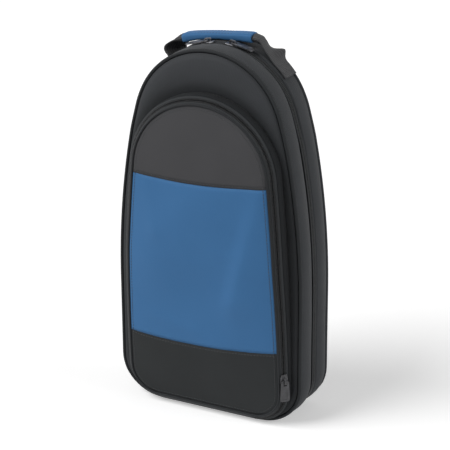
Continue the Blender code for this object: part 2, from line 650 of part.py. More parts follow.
def handle(root):
    """The sewn webbing of the handle and the padded grip round its middle."""
    shares = LEFT_FOOT_SHARES + LEFT_LEG_SHARES + GRIP_SHARES + RIGHT_LEG_SHARES + RIGHT_FOOT_SHARES
    line = smooth_path(handle_points(shares))
    thin = WEBBING_THICKNESS / 2

    def flat(neck):
        half = (WEBBING_WIDTH + (WEBBING_NECK_WIDTH - WEBBING_WIDTH) * neck) / 2
        return (-half, -thin), (half, -thin), (half, thin), (-half, thin)

    object_from("handle_strap", loft(along_path(line, flat)), WEBBING, root)
    first = PATH_STEPS * len(LEFT_FOOT_SHARES + LEFT_LEG_SHARES)
    middle = line[first : first + PATH_STEPS * (len(GRIP_SHARES) - 1) + 1]
    outer = eight_sided(GRIP_WIDTH / 2, GRIP_THICKNESS / 2, GRIP_BEVEL)
    inner = eight_sided(WEBBING_NECK_WIDTH / 2 + GRIP_CLEARANCE, thin + GRIP_CLEARANCE, GRIP_CLEARANCE)
    loops = along_path(middle, lambda neck: outer) + along_path(middle, lambda neck: inner)[::-1]
    object_from("handle_grip", loft(loops, closed_profile=True), BLUE_CLOTH, root)


def main():
    clear_scene()
    root = empty_at("rear_half", (0.0, 0.0, 0.0))
    lid = empty_at("lid_hinge_axis", (0.0, PARTING_Y, -HINGE_DROP))
    flap = empty_at("flap_hinge_axis", (0.0, pocket_front(POCKET_BASE), POCKET_BASE), lid)
    fitted_block(root, rear_half(root))
    lid_half(lid)
    zip_half(1, "rear", root)
    zip_half(-1, "lid", lid)
    base_hinge(root)
    pocket_side(lid)
    pocket_zip(lid, flap)
    pocket_face(flap)
    main_sliders(root)
    pocket_slider(flap)
    handle(root)


main()
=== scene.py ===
"""Cloth, webbing, zips and stitching for the flute case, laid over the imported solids. Lengths are in metres."""

import math

import bmesh
import bpy
from mathutils import Matrix, Vector, noise


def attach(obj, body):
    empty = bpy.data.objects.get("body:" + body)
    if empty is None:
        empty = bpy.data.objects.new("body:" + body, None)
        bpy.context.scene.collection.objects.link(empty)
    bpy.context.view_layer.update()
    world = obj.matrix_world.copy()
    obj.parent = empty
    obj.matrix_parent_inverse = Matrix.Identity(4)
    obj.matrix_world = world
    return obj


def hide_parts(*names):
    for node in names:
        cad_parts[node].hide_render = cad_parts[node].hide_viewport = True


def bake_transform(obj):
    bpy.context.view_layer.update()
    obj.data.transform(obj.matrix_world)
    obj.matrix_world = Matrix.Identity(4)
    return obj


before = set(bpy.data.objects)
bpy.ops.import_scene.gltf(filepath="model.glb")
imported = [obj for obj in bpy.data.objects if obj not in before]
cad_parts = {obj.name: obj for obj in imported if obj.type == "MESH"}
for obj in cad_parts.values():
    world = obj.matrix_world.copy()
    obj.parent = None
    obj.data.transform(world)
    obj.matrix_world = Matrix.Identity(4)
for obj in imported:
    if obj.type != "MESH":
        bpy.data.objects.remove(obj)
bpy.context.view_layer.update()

# Sizes of the solids, as they were built
HEIGHT, HALF, ARC_BASE, TOP_RADIUS, CORNER = 0.484, 0.129, 0.166, 0.104, 0.054
REAR_FACE, REAR_SEAM, PARTING, LID_SEAM, LID_FACE = 0.01675, -0.01675, -0.02355, -0.03035, -0.06435
WALL, DRAW, PANEL, PIPE, LINING, GAP = 0.005, 0.0022, 0.0035, 0.0018, 0.0015, 0.0003
TAPE, COIL, COIL_GAP = 0.0012, 0.0009, 0.0012
POCKET_HEIGHT, POCKET_HALF, POCKET_ARC, POCKET_TOP, POCKET_CORNER = 0.408, 0.1075, 0.055, 0.094, 0.038
POCKET_BASE, POCKET_DEPTH, POCKET_FOOT, TAPER_TOP = 0.0115, 0.024, 0.0115, 0.215
BAND, POCKET_CLOTH, FLAP, FLAP_PIPE, CROWN = 0.0095, 0.0016, 0.0022, 0.0012, 0.009
WEBBING_WIDTH, NECK_WIDTH, WEBBING, RISE, LEAN = 0.030, 0.0165, 0.002, 0.016, 0.003
GRIP, GRIP_WIDTH, GRIP_CLEAR = 0.008, 0.021, 0.0004

TAPE_INSET = DRAW + TAPE / 2
INNER = WALL + GAP
PIPE_INSET = WALL - GAP - PIPE
COIL_OFFSET = COIL_GAP / 2 + COIL
TAPE_FREE = COIL_OFFSET + COIL + GAP
TOP_CENTRE = HEIGHT - TOP_RADIUS
BAND_LENGTH = math.sqrt(2) * BAND
CASE = (HEIGHT, HALF, ARC_BASE, TOP_RADIUS, CORNER)
POCKET = (POCKET_HEIGHT, POCKET_HALF, POCKET_ARC - POCKET_BASE, POCKET_TOP, POCKET_CORNER)

# The padding's swell on the long sides: how far it goes, the height where it ends, how far in from there and from the
# top it fades, and the height by which it is full. The zip stands up from it by a share that ends lower down.
SIDE_SWELL, SWELL_TOP, SWELL_FADE, SWELL_START = 0.0020, 0.42, 0.05, 0.03
ZIP_SHARE, ZIP_TOP, ZIP_FADE = 0.65, 0.40, 0.04
# How much larger the radius of the scene's piping is than the solids', and how much further out the rims' piping sits
PIPE_EXTRA, PIPE_OUT = 0.0004, 0.0006
# Height that the rings of a padded panel close in on
PANEL_MIDDLE = 0.235
# How far thread stands off the cloth, and how far a row of stitches runs from a wall's seam
THREAD_LIFT, STITCH_FROM_SEAM = 0.0001, 0.0024
# How finely outlines are drawn: steps in each stretch, and the length of a step on the straight sides
CORNER_STEPS, SIDE_STEPS, TOP_STEPS, BASE_STEPS, STRAIGHT_STEP = 14, 28, 60, 18, 0.008

# The handle's line: degrees round the top arc, shares of its rise above the wall, and how far it is drawn in to its
# neck and leans forward
HANDLE_LINE = (
    (-60.0, 0.0, 0.0), (-55.0, 0.0, 0.0), (-50.5, 0.02, 0.0), (-48.2, 0.10, 0.05), (-47.2, 0.28, 0.12),
    (-47.0, 0.50, 0.1), (-46.3, 0.76, 0.15), (-44.3, 0.94, 0.25), (-41.0, 0.99, 0.5), (-38.0, 0.92, 0.8),
    (-36.0, 0.86, 1.0), (-34.4, 0.81, 1.0), (-28.0, 0.56, 1.0), (-21.2, 0.344, 1.0), (-8.2, 0.13, 1.0),
    (0.0, 0.13, 1.0), (9.5, 0.32, 1.0), (17.3, 0.57, 1.0), (19.6, 0.64, 1.0), (21.6, 0.67, 1.0), (23.6, 0.6, 0.95),
    (25.6, 0.48, 0.8), (29.4, 0.29, 0.5), (34.0, 0.127, 0.2), (38.3, 0.027, 0.0), (41.5, 0.0, 0.0), (46.0, 0.0, 0.0),
    (52.0, 0.0, 0.0),
)
# The first and last of those places that the grip covers, and how many points the line has from one to the next
GRIP_FIRST, GRIP_LAST, STEPS = 11, 17, 6


def clamp(value):
    """The value, held between 0 and 1."""
    return min(1.0, max(0.0, value))


def arc(centre, radius, start, end, steps, first=False):
    """Points on an arc. Its first point is left out unless asked for, since the stretch before it ends there."""
    return [
        (centre[0] + radius * math.cos(a), centre[1] + radius * math.sin(a))
        for a in (start + (end - start) * n / steps for n in range(0 if first else 1, steps + 1))
    ]


def outline(sizes, inset=0.0, lift=0.0, whole=False):
    """Points in X and Z round a domed outline, from the right end of its flat base over the top to the left end.

    With whole, points along the flat base close the round.
    """
    height, half, arc_base, top_radius, corner = sizes
    rise = height - top_radius - arc_base
    side = (half**2 + rise**2 - top_radius**2) / (2 * (half - top_radius))
    far = half - side
    join = math.atan2(rise, -far)
    right = arc((half - corner, corner), corner - inset, -math.pi / 2, 0.0, CORNER_STEPS, first=True)
    straight = max(1, round((arc_base - corner) / STRAIGHT_STEP))
    right += [(half - inset, corner + (arc_base - corner) * n / straight) for n in range(1, straight + 1)]
    right += arc((far, arc_base), side - inset, 0.0, join, SIDE_STEPS)
    top = arc((0.0, height - top_radius), top_radius - inset, join, math.pi - join, TOP_STEPS)
    points = right + top + [(-x, z) for x, z in reversed(right[:-1])]
    if whole:
        flat = half - corner
        points += [(flat * (2 * n / BASE_STEPS - 1), inset) for n in range(1, BASE_STEPS)]
    if sizes is CASE:
        points = [(x + math.copysign(side_swell(x, z), x), z) for x, z in points]
    return [(x, z + lift) for x, z in points]


def side_swell(x, z):
    """How far the padding pushes the case's long sides out, clear of its base and of the sliders' way."""
    reach = SIDE_SWELL * min(1.0, abs(x) / SWELL_FADE) * min(1.0, z / SWELL_START)
    return reach * clamp((SWELL_TOP - z) / SWELL_FADE)


def pocket_front(z):
    """Depth of the flat plane behind the pocket's swollen face."""
    return LID_FACE - POCKET_FOOT - (POCKET_DEPTH - POCKET_FOOT) * min(z, TAPER_TOP) / TAPER_TOP


def case_line(inset, depth, whole=True):
    """The case's outline as points, drawn in by an inset, at a depth in Y."""
    return [Vector((x, depth, z)) for x, z in outline(CASE, inset, 0.0, whole)]


def pocket_line(inset, depth, whole=True):
    """The pocket's outline as points, drawn in by an inset, at a depth behind the plane of its face."""
    return [Vector((x, pocket_front(z) + depth, z)) for x, z in outline(POCKET, inset, POCKET_BASE, whole)]


def band_line(along, inward, whole=False):
    """Line in the sloped band of the pocket's zip, a distance along the slope from the face and one inwards."""
    diagonal = math.sqrt(0.5)
    return pocket_line((inward - along) * diagonal, (inward + along) * diagonal, whole)


def mesh_object(name, shape, material):
    """An object from a bmesh, shaded smooth, with its faces pointing out."""
    bmesh.ops.recalc_face_normals(shape, faces=shape.faces)
    mesh = bpy.data.meshes.new(name)
    shape.to_mesh(mesh)
    shape.free()
    mesh.shade_smooth()
    mesh.materials.append(material)
    made = bpy.data.objects.new(name, mesh)
    bpy.context.scene.collection.objects.link(made)
    return made


def skin(name, loops, material, closed_line=True, closed_profile=False):
    """A solid skinned over matching loops of points. Its UV runs in metres along the loops and across them."""
    shape = bmesh.new()
    uv = shape.loops.layers.uv.new("cloth")
    rows = [[shape.verts.new(p) for p in loop] for loop in loops]
    count = len(rows[0])
    middle = loops[len(loops) // 2]
    along = [0.0]
    for n in range(count):
        along.append(along[-1] + (Vector(middle[(n + 1) % count]) - Vector(middle[n])).length)
    across = [0.0]
    probe = count // 3  # a point well away from the corners
    for n in range(len(loops)):
        across.append(across[-1] + (Vector(loops[(n + 1) % len(loops)][probe]) - Vector(loops[n][probe])).length)
    for r in range(len(rows) if closed_profile else len(rows) - 1):
        low, high = rows[r], rows[(r + 1) % len(rows)]
        for n in range(count if closed_line else count - 1):
            m = (n + 1) % count
            face = shape.faces.new((low[n], low[m], high[m], high[n]))
            places = ((n, r), (n + 1, r), (n + 1, r + 1), (n, r + 1))
            for corner, (a, b) in zip(face.loops, places):
                corner[uv].uv = (along[a], across[b])
    if not closed_profile:
        shape.faces.new(rows[0])
        shape.faces.new(rows[-1])
    elif not closed_line:
        shape.faces.new([row[0] for row in rows])
        shape.faces.new([row[-1] for row in rows])
    return mesh_object(name, shape, material)


def soft(point, size, reach, seed):
    """A slow wave between -reach and reach that makes cloth look laid by hand. Size is the wave's width."""
    return noise.noise(Vector(point) / size + Vector((seed, seed * 1.7, seed * 2.3))) * reach


def dress(piece, body, slot, *nodes):
    """Makes a finished piece stand for its solids and move with its body."""
    if nodes:
        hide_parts(*nodes)
    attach(piece, body)


# Materials

def hex_colour(text):
    """An sRGB hex value as the linear colour that the shader takes."""
    values = [int(text[n : n + 2], 16) / 255 for n in (1, 3, 5)]
    return (*[v / 12.92 if v <= 0.04045 else ((v + 0.055) / 1.055) ** 2.4 for v in values], 1.0)


def node(tree, kind, settings=None, links=None):
    """Adds a node, gives its properties and sockets their values, and links its sockets."""
    made = tree.nodes.new(kind)
    for name, value in (settings or {}).items():
        if isinstance(name, str) and hasattr(made, name):
            setattr(made, name, value)
        else:
            made.inputs[name].default_value = value
    for name, socket in (links or {}).items():
        tree.links.new(socket, made.inputs[name])
    return made


def new_material(name):
    """A material with nodes, its tree and its shader."""
    made = bpy.data.materials.new(name)
    made.use_nodes = True
    tree = made.node_tree
    shader = tree.nodes["Principled BSDF"]
    return made, tree, shader


# Patches of slow fading and specks of fuzz in cloth, per metre, then how much the threads' relief lightens it, which
# leaves painted shade in the dips between threads, how much the fuzz lightens it, and how much the painted shade
# attribute darkens it
FADE_PATCHES, FUZZ_SPECKS = 14.0, 900.0
PAINTED_THREAD_SHADE, FUZZ_SHADE, PAINTED_SHADE_STRENGTH = 0.35, 0.22, -0.5


def woven(name, dark, light, thread, roughness, sheen, relief, fade=0.25, shine=0.12):
    """Plain-woven cloth on a piece's own UV: threads that pass over and under, slow fading and a fine fuzz.

    Thread is the spacing of the threads in metres, and relief how far they stand out. The colour is darker in the
    dips between threads, as painted shade.
    Where a piece has an attribute called painted_shade, the cloth is darkened there as painted shade.
    """
    made, tree, shader = new_material(name)
    uv = node(tree, "ShaderNodeUVMap", {"uv_map": "cloth"})
    scaled = node(tree, "ShaderNodeVectorMath", {"operation": "SCALE", 3: 1 / thread}, {0: uv.outputs["UV"]})
    parts = node(tree, "ShaderNodeSeparateXYZ", None, {0: scaled.outputs[0]})
    waves = []
    for axis in ("X", "Y"):
        turned = node(tree, "ShaderNodeMath", {"operation": "MULTIPLY", 1: math.pi}, {0: parts.outputs[axis]})
        wave = node(tree, "ShaderNodeMath", {"operation": "SINE"}, {0: turned.outputs[0]})
        waves.append(node(tree, "ShaderNodeMath", {"operation": "ABSOLUTE"}, {0: wave.outputs[0]}))
    over = node(tree, "ShaderNodeTexChecker", {"Scale": 1.0}, {"Vector": scaled.outputs[0]})
    height = node(
        tree, "ShaderNodeMix", {"data_type": "FLOAT"},
        {0: over.outputs["Fac"], 2: waves[0].outputs[0], 3: waves[1].outputs[0]},
    )
    place = node(tree, "ShaderNodeTexCoord")
    slow = node(
        tree, "ShaderNodeTexNoise", {"Scale": FADE_PATCHES, "Detail": 3.0}, {"Vector": place.outputs["Object"]}
    )
    fuzz = node(
        tree, "ShaderNodeTexNoise", {"Scale": FUZZ_SPECKS, "Detail": 2.0}, {"Vector": place.outputs["Object"]}
    )
    shade = node(
        tree, "ShaderNodeMath", {"operation": "MULTIPLY_ADD", 1: fade, 2: 0.5 - fade / 2}, {0: slow.outputs["Fac"]}
    )
    # Painted shade: the colour follows the threads' height, so the dips between threads are darker
    painted_thread_shade = node(
        tree, "ShaderNodeMath", {"operation": "MULTIPLY_ADD", 1: PAINTED_THREAD_SHADE},
        {0: height.outputs[0], 2: shade.outputs[0]},
    )
    speck = node(
        tree, "ShaderNodeMath", {"operation": "MULTIPLY_ADD", 1: FUZZ_SHADE},
        {0: fuzz.outputs["Fac"], 2: painted_thread_shade.outputs[0]},
    )
    # Painted shade: this attribute darkens the colour where a piece sets it
    painted_shade_node = node(tree, "ShaderNodeAttribute", {"attribute_name": "painted_shade"})
    toned = node(
        tree, "ShaderNodeMath", {"operation": "MULTIPLY_ADD", 1: PAINTED_SHADE_STRENGTH},
        {0: painted_shade_node.outputs["Fac"], 2: speck.outputs[0]},
    )
    ramp = node(tree, "ShaderNodeValToRGB", None, {"Fac": toned.outputs[0]})
    ramp.color_ramp.elements[0].color = hex_colour(dark)
    ramp.color_ramp.elements[0].position = 0.30
    ramp.color_ramp.elements[1].color = hex_colour(light)
    tree.links.new(ramp.outputs["Color"], shader.inputs["Base Color"])
    bump = node(tree, "ShaderNodeBump", {"Strength": 0.6, "Distance": relief}, {"Height": height.outputs[0]})
    rough = node(
        tree, "ShaderNodeMath", {"operation": "MULTIPLY_ADD", 1: 0.2, 2: roughness - 0.1}, {0: fuzz.outputs["Fac"]}
    )
    tree.links.new(rough.outputs[0], shader.inputs["Roughness"])
    tree.links.new(bump.outputs["Normal"], shader.inputs["Normal"])
    shader.inputs["Sheen Weight"].default_value = sheen
    shader.inputs["Sheen Roughness"].default_value = 0.5
    shader.inputs["Specular IOR Level"].default_value = shine
    return made


# Nylon pack cloth, plain woven: dark, dull, with a fine even grain. Real threads are 0.6 mm apart; 1.1 mm shows.
PACK_CLOTH = woven("woven nylon pack cloth, black", "#242628", "#3c3e41", 0.0011, 0.68, 0.03, 0.00016, shine=0.2)
# The same weave in a duller, deeper black, on the lower part of the pocket's face
DULL_CLOTH = woven("woven nylon pack cloth, dull black", "#1f2122", "#37393a", 0.0011, 0.8, 0.03, 0.00014)
# A lighter-weight cloth for the pocket's side, its colour darkened as painted shade for the shaded hollow between the
# pocket and the lid
GUSSET_SHADE_CLOTH = woven("thin nylon cloth, black, darkened as painted shade", "#151618", "#292b2d", 0.0009, 0.8, 0.02, 0.0001)
# The same cloth in a lighter charcoal, on the upper part of the pocket's face
GREY_CLOTH = woven("woven nylon pack cloth, charcoal", "#353537", "#4f4f51", 0.0011, 0.8, 0.03, 0.00014)
# Closely woven polyester, smoother than the pack cloth, so that it has a soft satin light
BLUE_CLOTH = woven("woven polyester, blue", "#335f8b", "#4475a6", 0.0009, 0.58, 0.03, 0.00008, fade=0.16)
# Cloth strip over cord: tighter, so darker and a little shinier than the panels
PIPING = woven("cloth-covered piping, black", "#1a1b1d", "#303234", 0.0008, 0.6, 0.03, 0.00008)
# The turned-in edge of the tape: deep black, for the two dark lines that run along the main zip
SEAM_CLOTH = woven("turned seam edge, black", "#0b0b0c", "#17181a", 0.0009, 0.9, 0.0, 0.00008, shine=0.05)
# Polyester zip tape: flat and dull, and nearly as light as the cloth beside it, so that dark seams frame it
ZIP_TAPE = woven("woven zip tape, black", "#26282a", "#3d3f41", 0.0009, 0.72, 0.02, 0.00008)
# Cut polyester plush: no weave shows, and it drinks the light
PLUSH = woven("polyester plush, black", "#17181b", "#2c2e33", 0.0016, 0.95, 0.3, 0.0003, fade=0.4)


# Spacing of the webbing's ribs, which are 1.6 mm apart on the real one, and of the picks that cross them
RIB, PICK = 0.0018, 0.0010


def webbing_material():
    """Polypropylene webbing: ribs along its length, crossed by fine picks, with a dull waxy light."""
    made, tree, shader = new_material("woven webbing, black")
    uv = node(tree, "ShaderNodeUVMap", {"uv_map": "cloth"})
    parts = node(tree, "ShaderNodeSeparateXYZ", None, {0: uv.outputs["UV"]})
    turned = node(tree, "ShaderNodeMath", {"operation": "MULTIPLY", 1: math.pi / RIB}, {0: parts.outputs["X"]})
    wave = node(tree, "ShaderNodeMath", {"operation": "SINE"}, {0: turned.outputs[0]})
    rib = node(tree, "ShaderNodeMath", {"operation": "ABSOLUTE"}, {0: wave.outputs[0]})
    crossed = node(tree, "ShaderNodeMath", {"operation": "MULTIPLY", 1: math.pi / PICK}, {0: parts.outputs["Y"]})
    pick = node(tree, "ShaderNodeMath", {"operation": "SINE"}, {0: crossed.outputs[0]})
    small = node(
        tree, "ShaderNodeMath", {"operation": "MULTIPLY_ADD", 1: 0.25}, {0: pick.outputs[0], 2: rib.outputs[0]}
    )
    # Painted shade: the colour follows the ribs' height, so the dips between ribs are darker
    ramp = node(tree, "ShaderNodeValToRGB", None, {"Fac": small.outputs[0]})
    ramp.color_ramp.elements[0].color = hex_colour("#1c1c1d")
    ramp.color_ramp.elements[1].color = hex_colour("#3b3b3d")
    bump = node(tree, "ShaderNodeBump", {"Strength": 0.8, "Distance": 0.0003}, {"Height": small.outputs[0]})
    tree.links.new(ramp.outputs["Color"], shader.inputs["Base Color"])
    tree.links.new(bump.outputs["Normal"], shader.inputs["Normal"])
    shader.inputs["Roughness"].default_value = 0.6
    shader.inputs["Specular IOR Level"].default_value = 0.4
    return made


def coil_material():
    """Moulded nylon coil: black, with a soft shine on each turn."""
    made, tree, shader = new_material("nylon zip coil, black")
    place = node(tree, "ShaderNodeTexCoord")
    grain = node(tree, "ShaderNodeTexNoise", {"Scale": 400.0, "Detail": 1.0}, {"Vector": place.outputs["Object"]})
    ramp = node(tree, "ShaderNodeValToRGB", None, {"Fac": grain.outputs["Fac"]})
    ramp.color_ramp.elements[0].color = hex_colour("#18191a")
    ramp.color_ramp.elements[1].color = hex_colour("#303133")
    tree.links.new(ramp.outputs["Color"], shader.inputs["Base Color"])
    shader.inputs["Roughness"].default_value = 0.38
    return made


def thread_material():
    """Bonded polyester thread: black, twisted, faintly lighter than the cloth it holds."""
    made, tree, shader = new_material("bonded polyester thread, black")
    place = node(tree, "ShaderNodeTexCoord")
    grain = node(tree, "ShaderNodeTexNoise", {"Scale": 700.0, "Detail": 1.0}, {"Vector": place.outputs["Object"]})
    ramp = node(tree, "ShaderNodeValToRGB", None, {"Fac": grain.outputs["Fac"]})
    ramp.color_ramp.elements[0].color = hex_colour("#252628")
    ramp.color_ramp.elements[1].color = hex_colour("#47494c")
    tree.links.new(ramp.outputs["Color"], shader.inputs["Base Color"])
    shader.inputs["Roughness"].default_value = 0.6
    return made


def die_cast(name, dark, light, roughness, metallic):
    """Die-cast zinc under a thin finish: slightly uneven, and brighter where hands have rubbed it."""
    made, tree, shader = new_material(name)
    place = node(tree, "ShaderNodeTexCoord")
    cloud = node(tree, "ShaderNodeTexNoise", {"Scale": 180.0, "Detail": 4.0}, {"Vector": place.outputs["Object"]})
    ramp = node(tree, "ShaderNodeValToRGB", None, {"Fac": cloud.outputs["Fac"]})
    ramp.color_ramp.elements[0].color = hex_colour(dark)
    ramp.color_ramp.elements[0].position = 0.3
    ramp.color_ramp.elements[1].color = hex_colour(light)
    ramp.color_ramp.elements[1].position = 0.7
    rough = node(
        tree, "ShaderNodeMath", {"operation": "MULTIPLY_ADD", 1: 0.25, 2: roughness - 0.12}, {0: cloud.outputs["Fac"]}
    )
    bump = node(tree, "ShaderNodeBump", {"Strength": 0.15, "Distance": 0.0001}, {"Height": cloud.outputs["Fac"]})
    tree.links.new(ramp.outputs["Color"], shader.inputs["Base Color"])
    tree.links.new(rough.outputs[0], shader.inputs["Roughness"])
    tree.links.new(bump.outputs["Normal"], shader.inputs["Normal"])
    shader.inputs["Metallic"].default_value = metallic
    return made


WEBBING_CLOTH = webbing_material()
NYLON_COIL = coil_material()
THREAD = thread_material()
# Sliders at the top catch the light as bare nickel; the pocket's pull is painted dark.
NICKEL = die_cast("die-cast zinc, dark nickel plate", "#515154", "#8a8a8e", 0.34, 1.0)
PAINTED = die_cast("die-cast zinc, charcoal paint", "#39393b", "#4c4c4f", 0.45, 0.2)


# Things that repeat along a line

def repeat_tree(name, material):
    """A tree that sets small rounded blocks along lines, turned with each line and with its out attribute."""
    tree = bpy.data.node_groups.new(name, "GeometryNodeTree")
    face = tree.interface
    face.new_socket("Geometry", in_out="INPUT", socket_type="NodeSocketGeometry")
    for title, value in (("Pitch", 0.004), ("Length", 0.003), ("Width", 0.0008), ("Height", 0.0006)):
        socket = face.new_socket(title, in_out="INPUT", socket_type="NodeSocketFloat")
        socket.default_value = value
    face.new_socket("Geometry", in_out="OUTPUT", socket_type="NodeSocketGeometry")
    given = node(tree, "NodeGroupInput")
    curve = node(tree, "GeometryNodeMeshToCurve", None, {0: given.outputs["Geometry"]})
    even = node(
        tree, "GeometryNodeResampleCurve", {"mode": "LENGTH"},
        {"Curve": curve.outputs[0], "Length": given.outputs["Pitch"]},
    )
    tangent = node(tree, "GeometryNodeInputTangent")
    outward = node(tree, "GeometryNodeInputNamedAttribute", {"data_type": "FLOAT_VECTOR", "Name": "out"})
    first = node(tree, "FunctionNodeAlignRotationToVector", {"axis": "X"}, {"Vector": tangent.outputs[0]})
    turn = node(
        tree, "FunctionNodeAlignRotationToVector", {"axis": "Z", "pivot_axis": "X"},
        {"Rotation": first.outputs[0], "Vector": outward.outputs["Attribute"]},
    )
    size = node(
        tree, "ShaderNodeCombineXYZ", None,
        {0: given.outputs["Length"], 1: given.outputs["Width"], 2: given.outputs["Height"]},
    )
    bead = node(tree, "GeometryNodeMeshIcoSphere", {"Radius": 0.55, "Subdivisions": 1})
    placed = node(
        tree, "GeometryNodeInstanceOnPoints", None,
        {
            "Points": even.outputs[0], "Instance": bead.outputs[0], "Rotation": turn.outputs[0],
            "Scale": size.outputs[0],
        },
    )
    real = node(tree, "GeometryNodeRealizeInstances", None, {0: placed.outputs[0]})
    smooth = node(tree, "GeometryNodeSetShadeSmooth", None, {0: real.outputs[0]})
    coloured = node(tree, "GeometryNodeSetMaterial", {"Material": material}, {0: smooth.outputs[0]})
    node(tree, "NodeGroupOutput", None, {0: coloured.outputs[0]})
    return tree


STITCHES = repeat_tree("stitches along lines", THREAD)
TEETH = repeat_tree("coil turns along lines", NYLON_COIL)


def repeated(name, tree, lines, sizes):
    """One plain mesh of everything that a tree sets along lines.

    Each line is its points, the ways out of it at them, and whether it closes.
    """
    mesh = bpy.data.meshes.new(name)
    points, edges, outs = [], [], []
    for line, out, closed in lines:
        start = len(points)
        points += [tuple(p) for p in line]
        outs += [tuple(v) for v in out]
        edges += [(start + n, start + n + 1) for n in range(len(line) - 1)]
        if closed:
            edges.append((start + len(line) - 1, start))
    mesh.from_pydata(points, edges, [])
    attribute = mesh.attributes.new("out", "FLOAT_VECTOR", "POINT")
    for n, value in enumerate(outs):
        attribute.data[n].vector = value
    carrier = bpy.data.objects.new(f"{name}_lines", mesh)
    bpy.context.scene.collection.objects.link(carrier)
    step = carrier.modifiers.new("repeat", "NODES")
    step.node_group = tree
    named = {s.name: s.identifier for s in tree.interface.items_tree if s.in_out == "INPUT"}
    for title, value in sizes.items():
        step[named[title]] = value
    graph = bpy.context.evaluated_depsgraph_get()
    made = bpy.data.objects.new(name, bpy.data.meshes.new_from_object(carrier.evaluated_get(graph)))
    bpy.data.objects.remove(carrier)
    bpy.context.scene.collection.objects.link(made)
    return made


def outward(line, depth_way=0.0):
    """Directions out of a line that runs round the case, in X and Z, with some share along Y."""
    found = []
    count = len(line)
    for n in range(count):
        way = (line[min(n + 1, count - 1)] - line[max(n - 1, 0)]).normalized()
        found.append(Vector((way.z, 0.0, -way.x)) + Vector((0.0, depth_way, 0.0)))
    return found


# A stitch of 3.2 mm every 4.2 mm, and a turn of the coil every 1.7 mm
STITCH = {"Pitch": 0.0042, "Length": 0.0032, "Width": 0.0009, "Height": 0.0007}
TURN = {"Pitch": 0.0017, "Length": 0.0009, "Width": 0.0030, "Height": 0.0019}


# The two padded halves

def wall_loops(near, far, seed, dent=0.0):
    """Loops of a padded side wall: it swells between its two seams and is laid a little unevenly.

    Dent is how far the grip presses it in at the top.
    """
    steps, heart = 14, 0.2
    wave_width, wave_reach, pillow, bulge = 0.05, 0.0006, 0.0004, 0.6
    dent_start, dent_fade = 0.474, 0.006
    loops = []
    for n in range(steps + 1):
        share = n / steps
        arch = math.sin(math.pi * share)
        loop = []
        for p in case_line(DRAW * (1 - arch**0.5), near + (far - near) * share):
            way = Vector((p.x, 0.0, p.z - heart)).normalized()
            p += way * (soft(p, wave_width, wave_reach, seed) + pillow * arch) * min(1.0, p.z / SWELL_START)
            p.x += math.copysign(side_swell(p.x, p.z) * bulge * arch, p.x)
            p.z -= dent * arch * clamp((p.z - dent_start) / dent_fade)
            loop.append(p)
        loops.append(loop)
    return loops + [case_line(WALL, far), case_line(WALL, near)]


def nearest(point, line):
    """Distance from a point to the nearest point of a line."""
    return min((point - p).length for p in line)


def swollen_panel(name, flat, way, reach, edge_width, rings, keep_clear=None, clear_width=1.0, seed=0.0):
    """A padded panel: flat at its edge and, if keep_clear is given, along that line, and swollen between them.

    Where something is sewn along that line, the panel is nearly flat up to the height where it shows above it.
    """
    wave_width, wave_reach, centre_hole = 0.07, 0.0007, 0.002
    low_share, shows_from, shows_over = 0.15, 0.36, 0.06
    edge = outline(CASE, INNER, 0.0, True)
    loops = [[Vector((x, flat + way * PANEL, z)) for x, z in edge]]
    for n in range(rings + 1):
        scale = 1 - n / rings if n < rings else centre_hole
        loop = []
        for x, z in edge:
            place = Vector((x * scale, 0.0, PANEL_MIDDLE + (z - PANEL_MIDDLE) * scale))
            rim = Vector((x, 0.0, z))
            swell = min(1.0, (rim - place).length / edge_width)
            swell = math.sin(swell * math.pi / 2) ** 0.7
            if keep_clear is not None:
                swell *= min(1.0, nearest(place, keep_clear) / clear_width) ** 0.6
                swell *= low_share + (1 - low_share) * clamp((place.z - shows_from) / shows_over)
            wave = soft(place, wave_width, wave_reach, seed) * swell
            loop.append(Vector((place.x, flat - way * (reach * swell + wave), place.z)))
        loops.append(loop)
    return skin(name, loops, PACK_CLOTH)


back = swollen_panel("back_panel_cloth", REAR_FACE, -1, reach=0.0022, edge_width=0.03, rings=22, seed=3.0)
dress(back, "rear_half", "black_cloth", "back_panel")

pipe_turns = [2 * math.pi * n / 12 for n in range(12)]


def piping(name, inset, depth, radius, line_at, material=PIPING):
    """A covered cord of a radius, round a line that a function gives for an inset and a depth."""
    loops = [line_at(inset + radius * math.cos(t), depth + radius * math.sin(t)) for t in pipe_turns]
    return skin(name, loops, material, closed_profile=True)


rear_far = REAR_FACE - 2 * PIPE - GAP
rear_loops = wall_loops(REAR_SEAM, rear_far, seed=1.0, dent=0.0022)
rear_wall = skin("rear_wall_cloth", rear_loops, PACK_CLOTH, closed_profile=True)
dress(rear_wall, "rear_half", "black_cloth", "rear_wall")
rim_inset, rim_radius = PIPE_INSET - PIPE_OUT, PIPE + PIPE_EXTRA
rear_pipe = piping("rear_piping_cord", rim_inset, REAR_FACE - PIPE, rim_radius, case_line, PACK_CLOTH)
dress(rear_pipe, "rear_half", "black_piping", "rear_piping")

lid_near = LID_FACE + 2 * PIPE + GAP
lid_wall = skin("lid_wall_cloth", wall_loops(lid_near, LID_SEAM, seed=5.0), PACK_CLOTH, closed_profile=True)
dress(lid_wall, "lid_half", "black_cloth", "lid_wall")
lid_pipe = piping("lid_piping_cord", rim_inset, LID_FACE + PIPE, rim_radius, case_line)
dress(lid_pipe, "lid_half", "black_piping", "lid_piping")

pocket_foot_line = [Vector((x, 0.0, z)) for x, z in outline(POCKET, -BAND, POCKET_BASE, True)]
lid_front = swollen_panel(
    "lid_panel_cloth", LID_FACE, 1, reach=0.0042, edge_width=0.022, rings=30, keep_clear=pocket_foot_line,
    clear_width=0.016, seed=8.0,
)
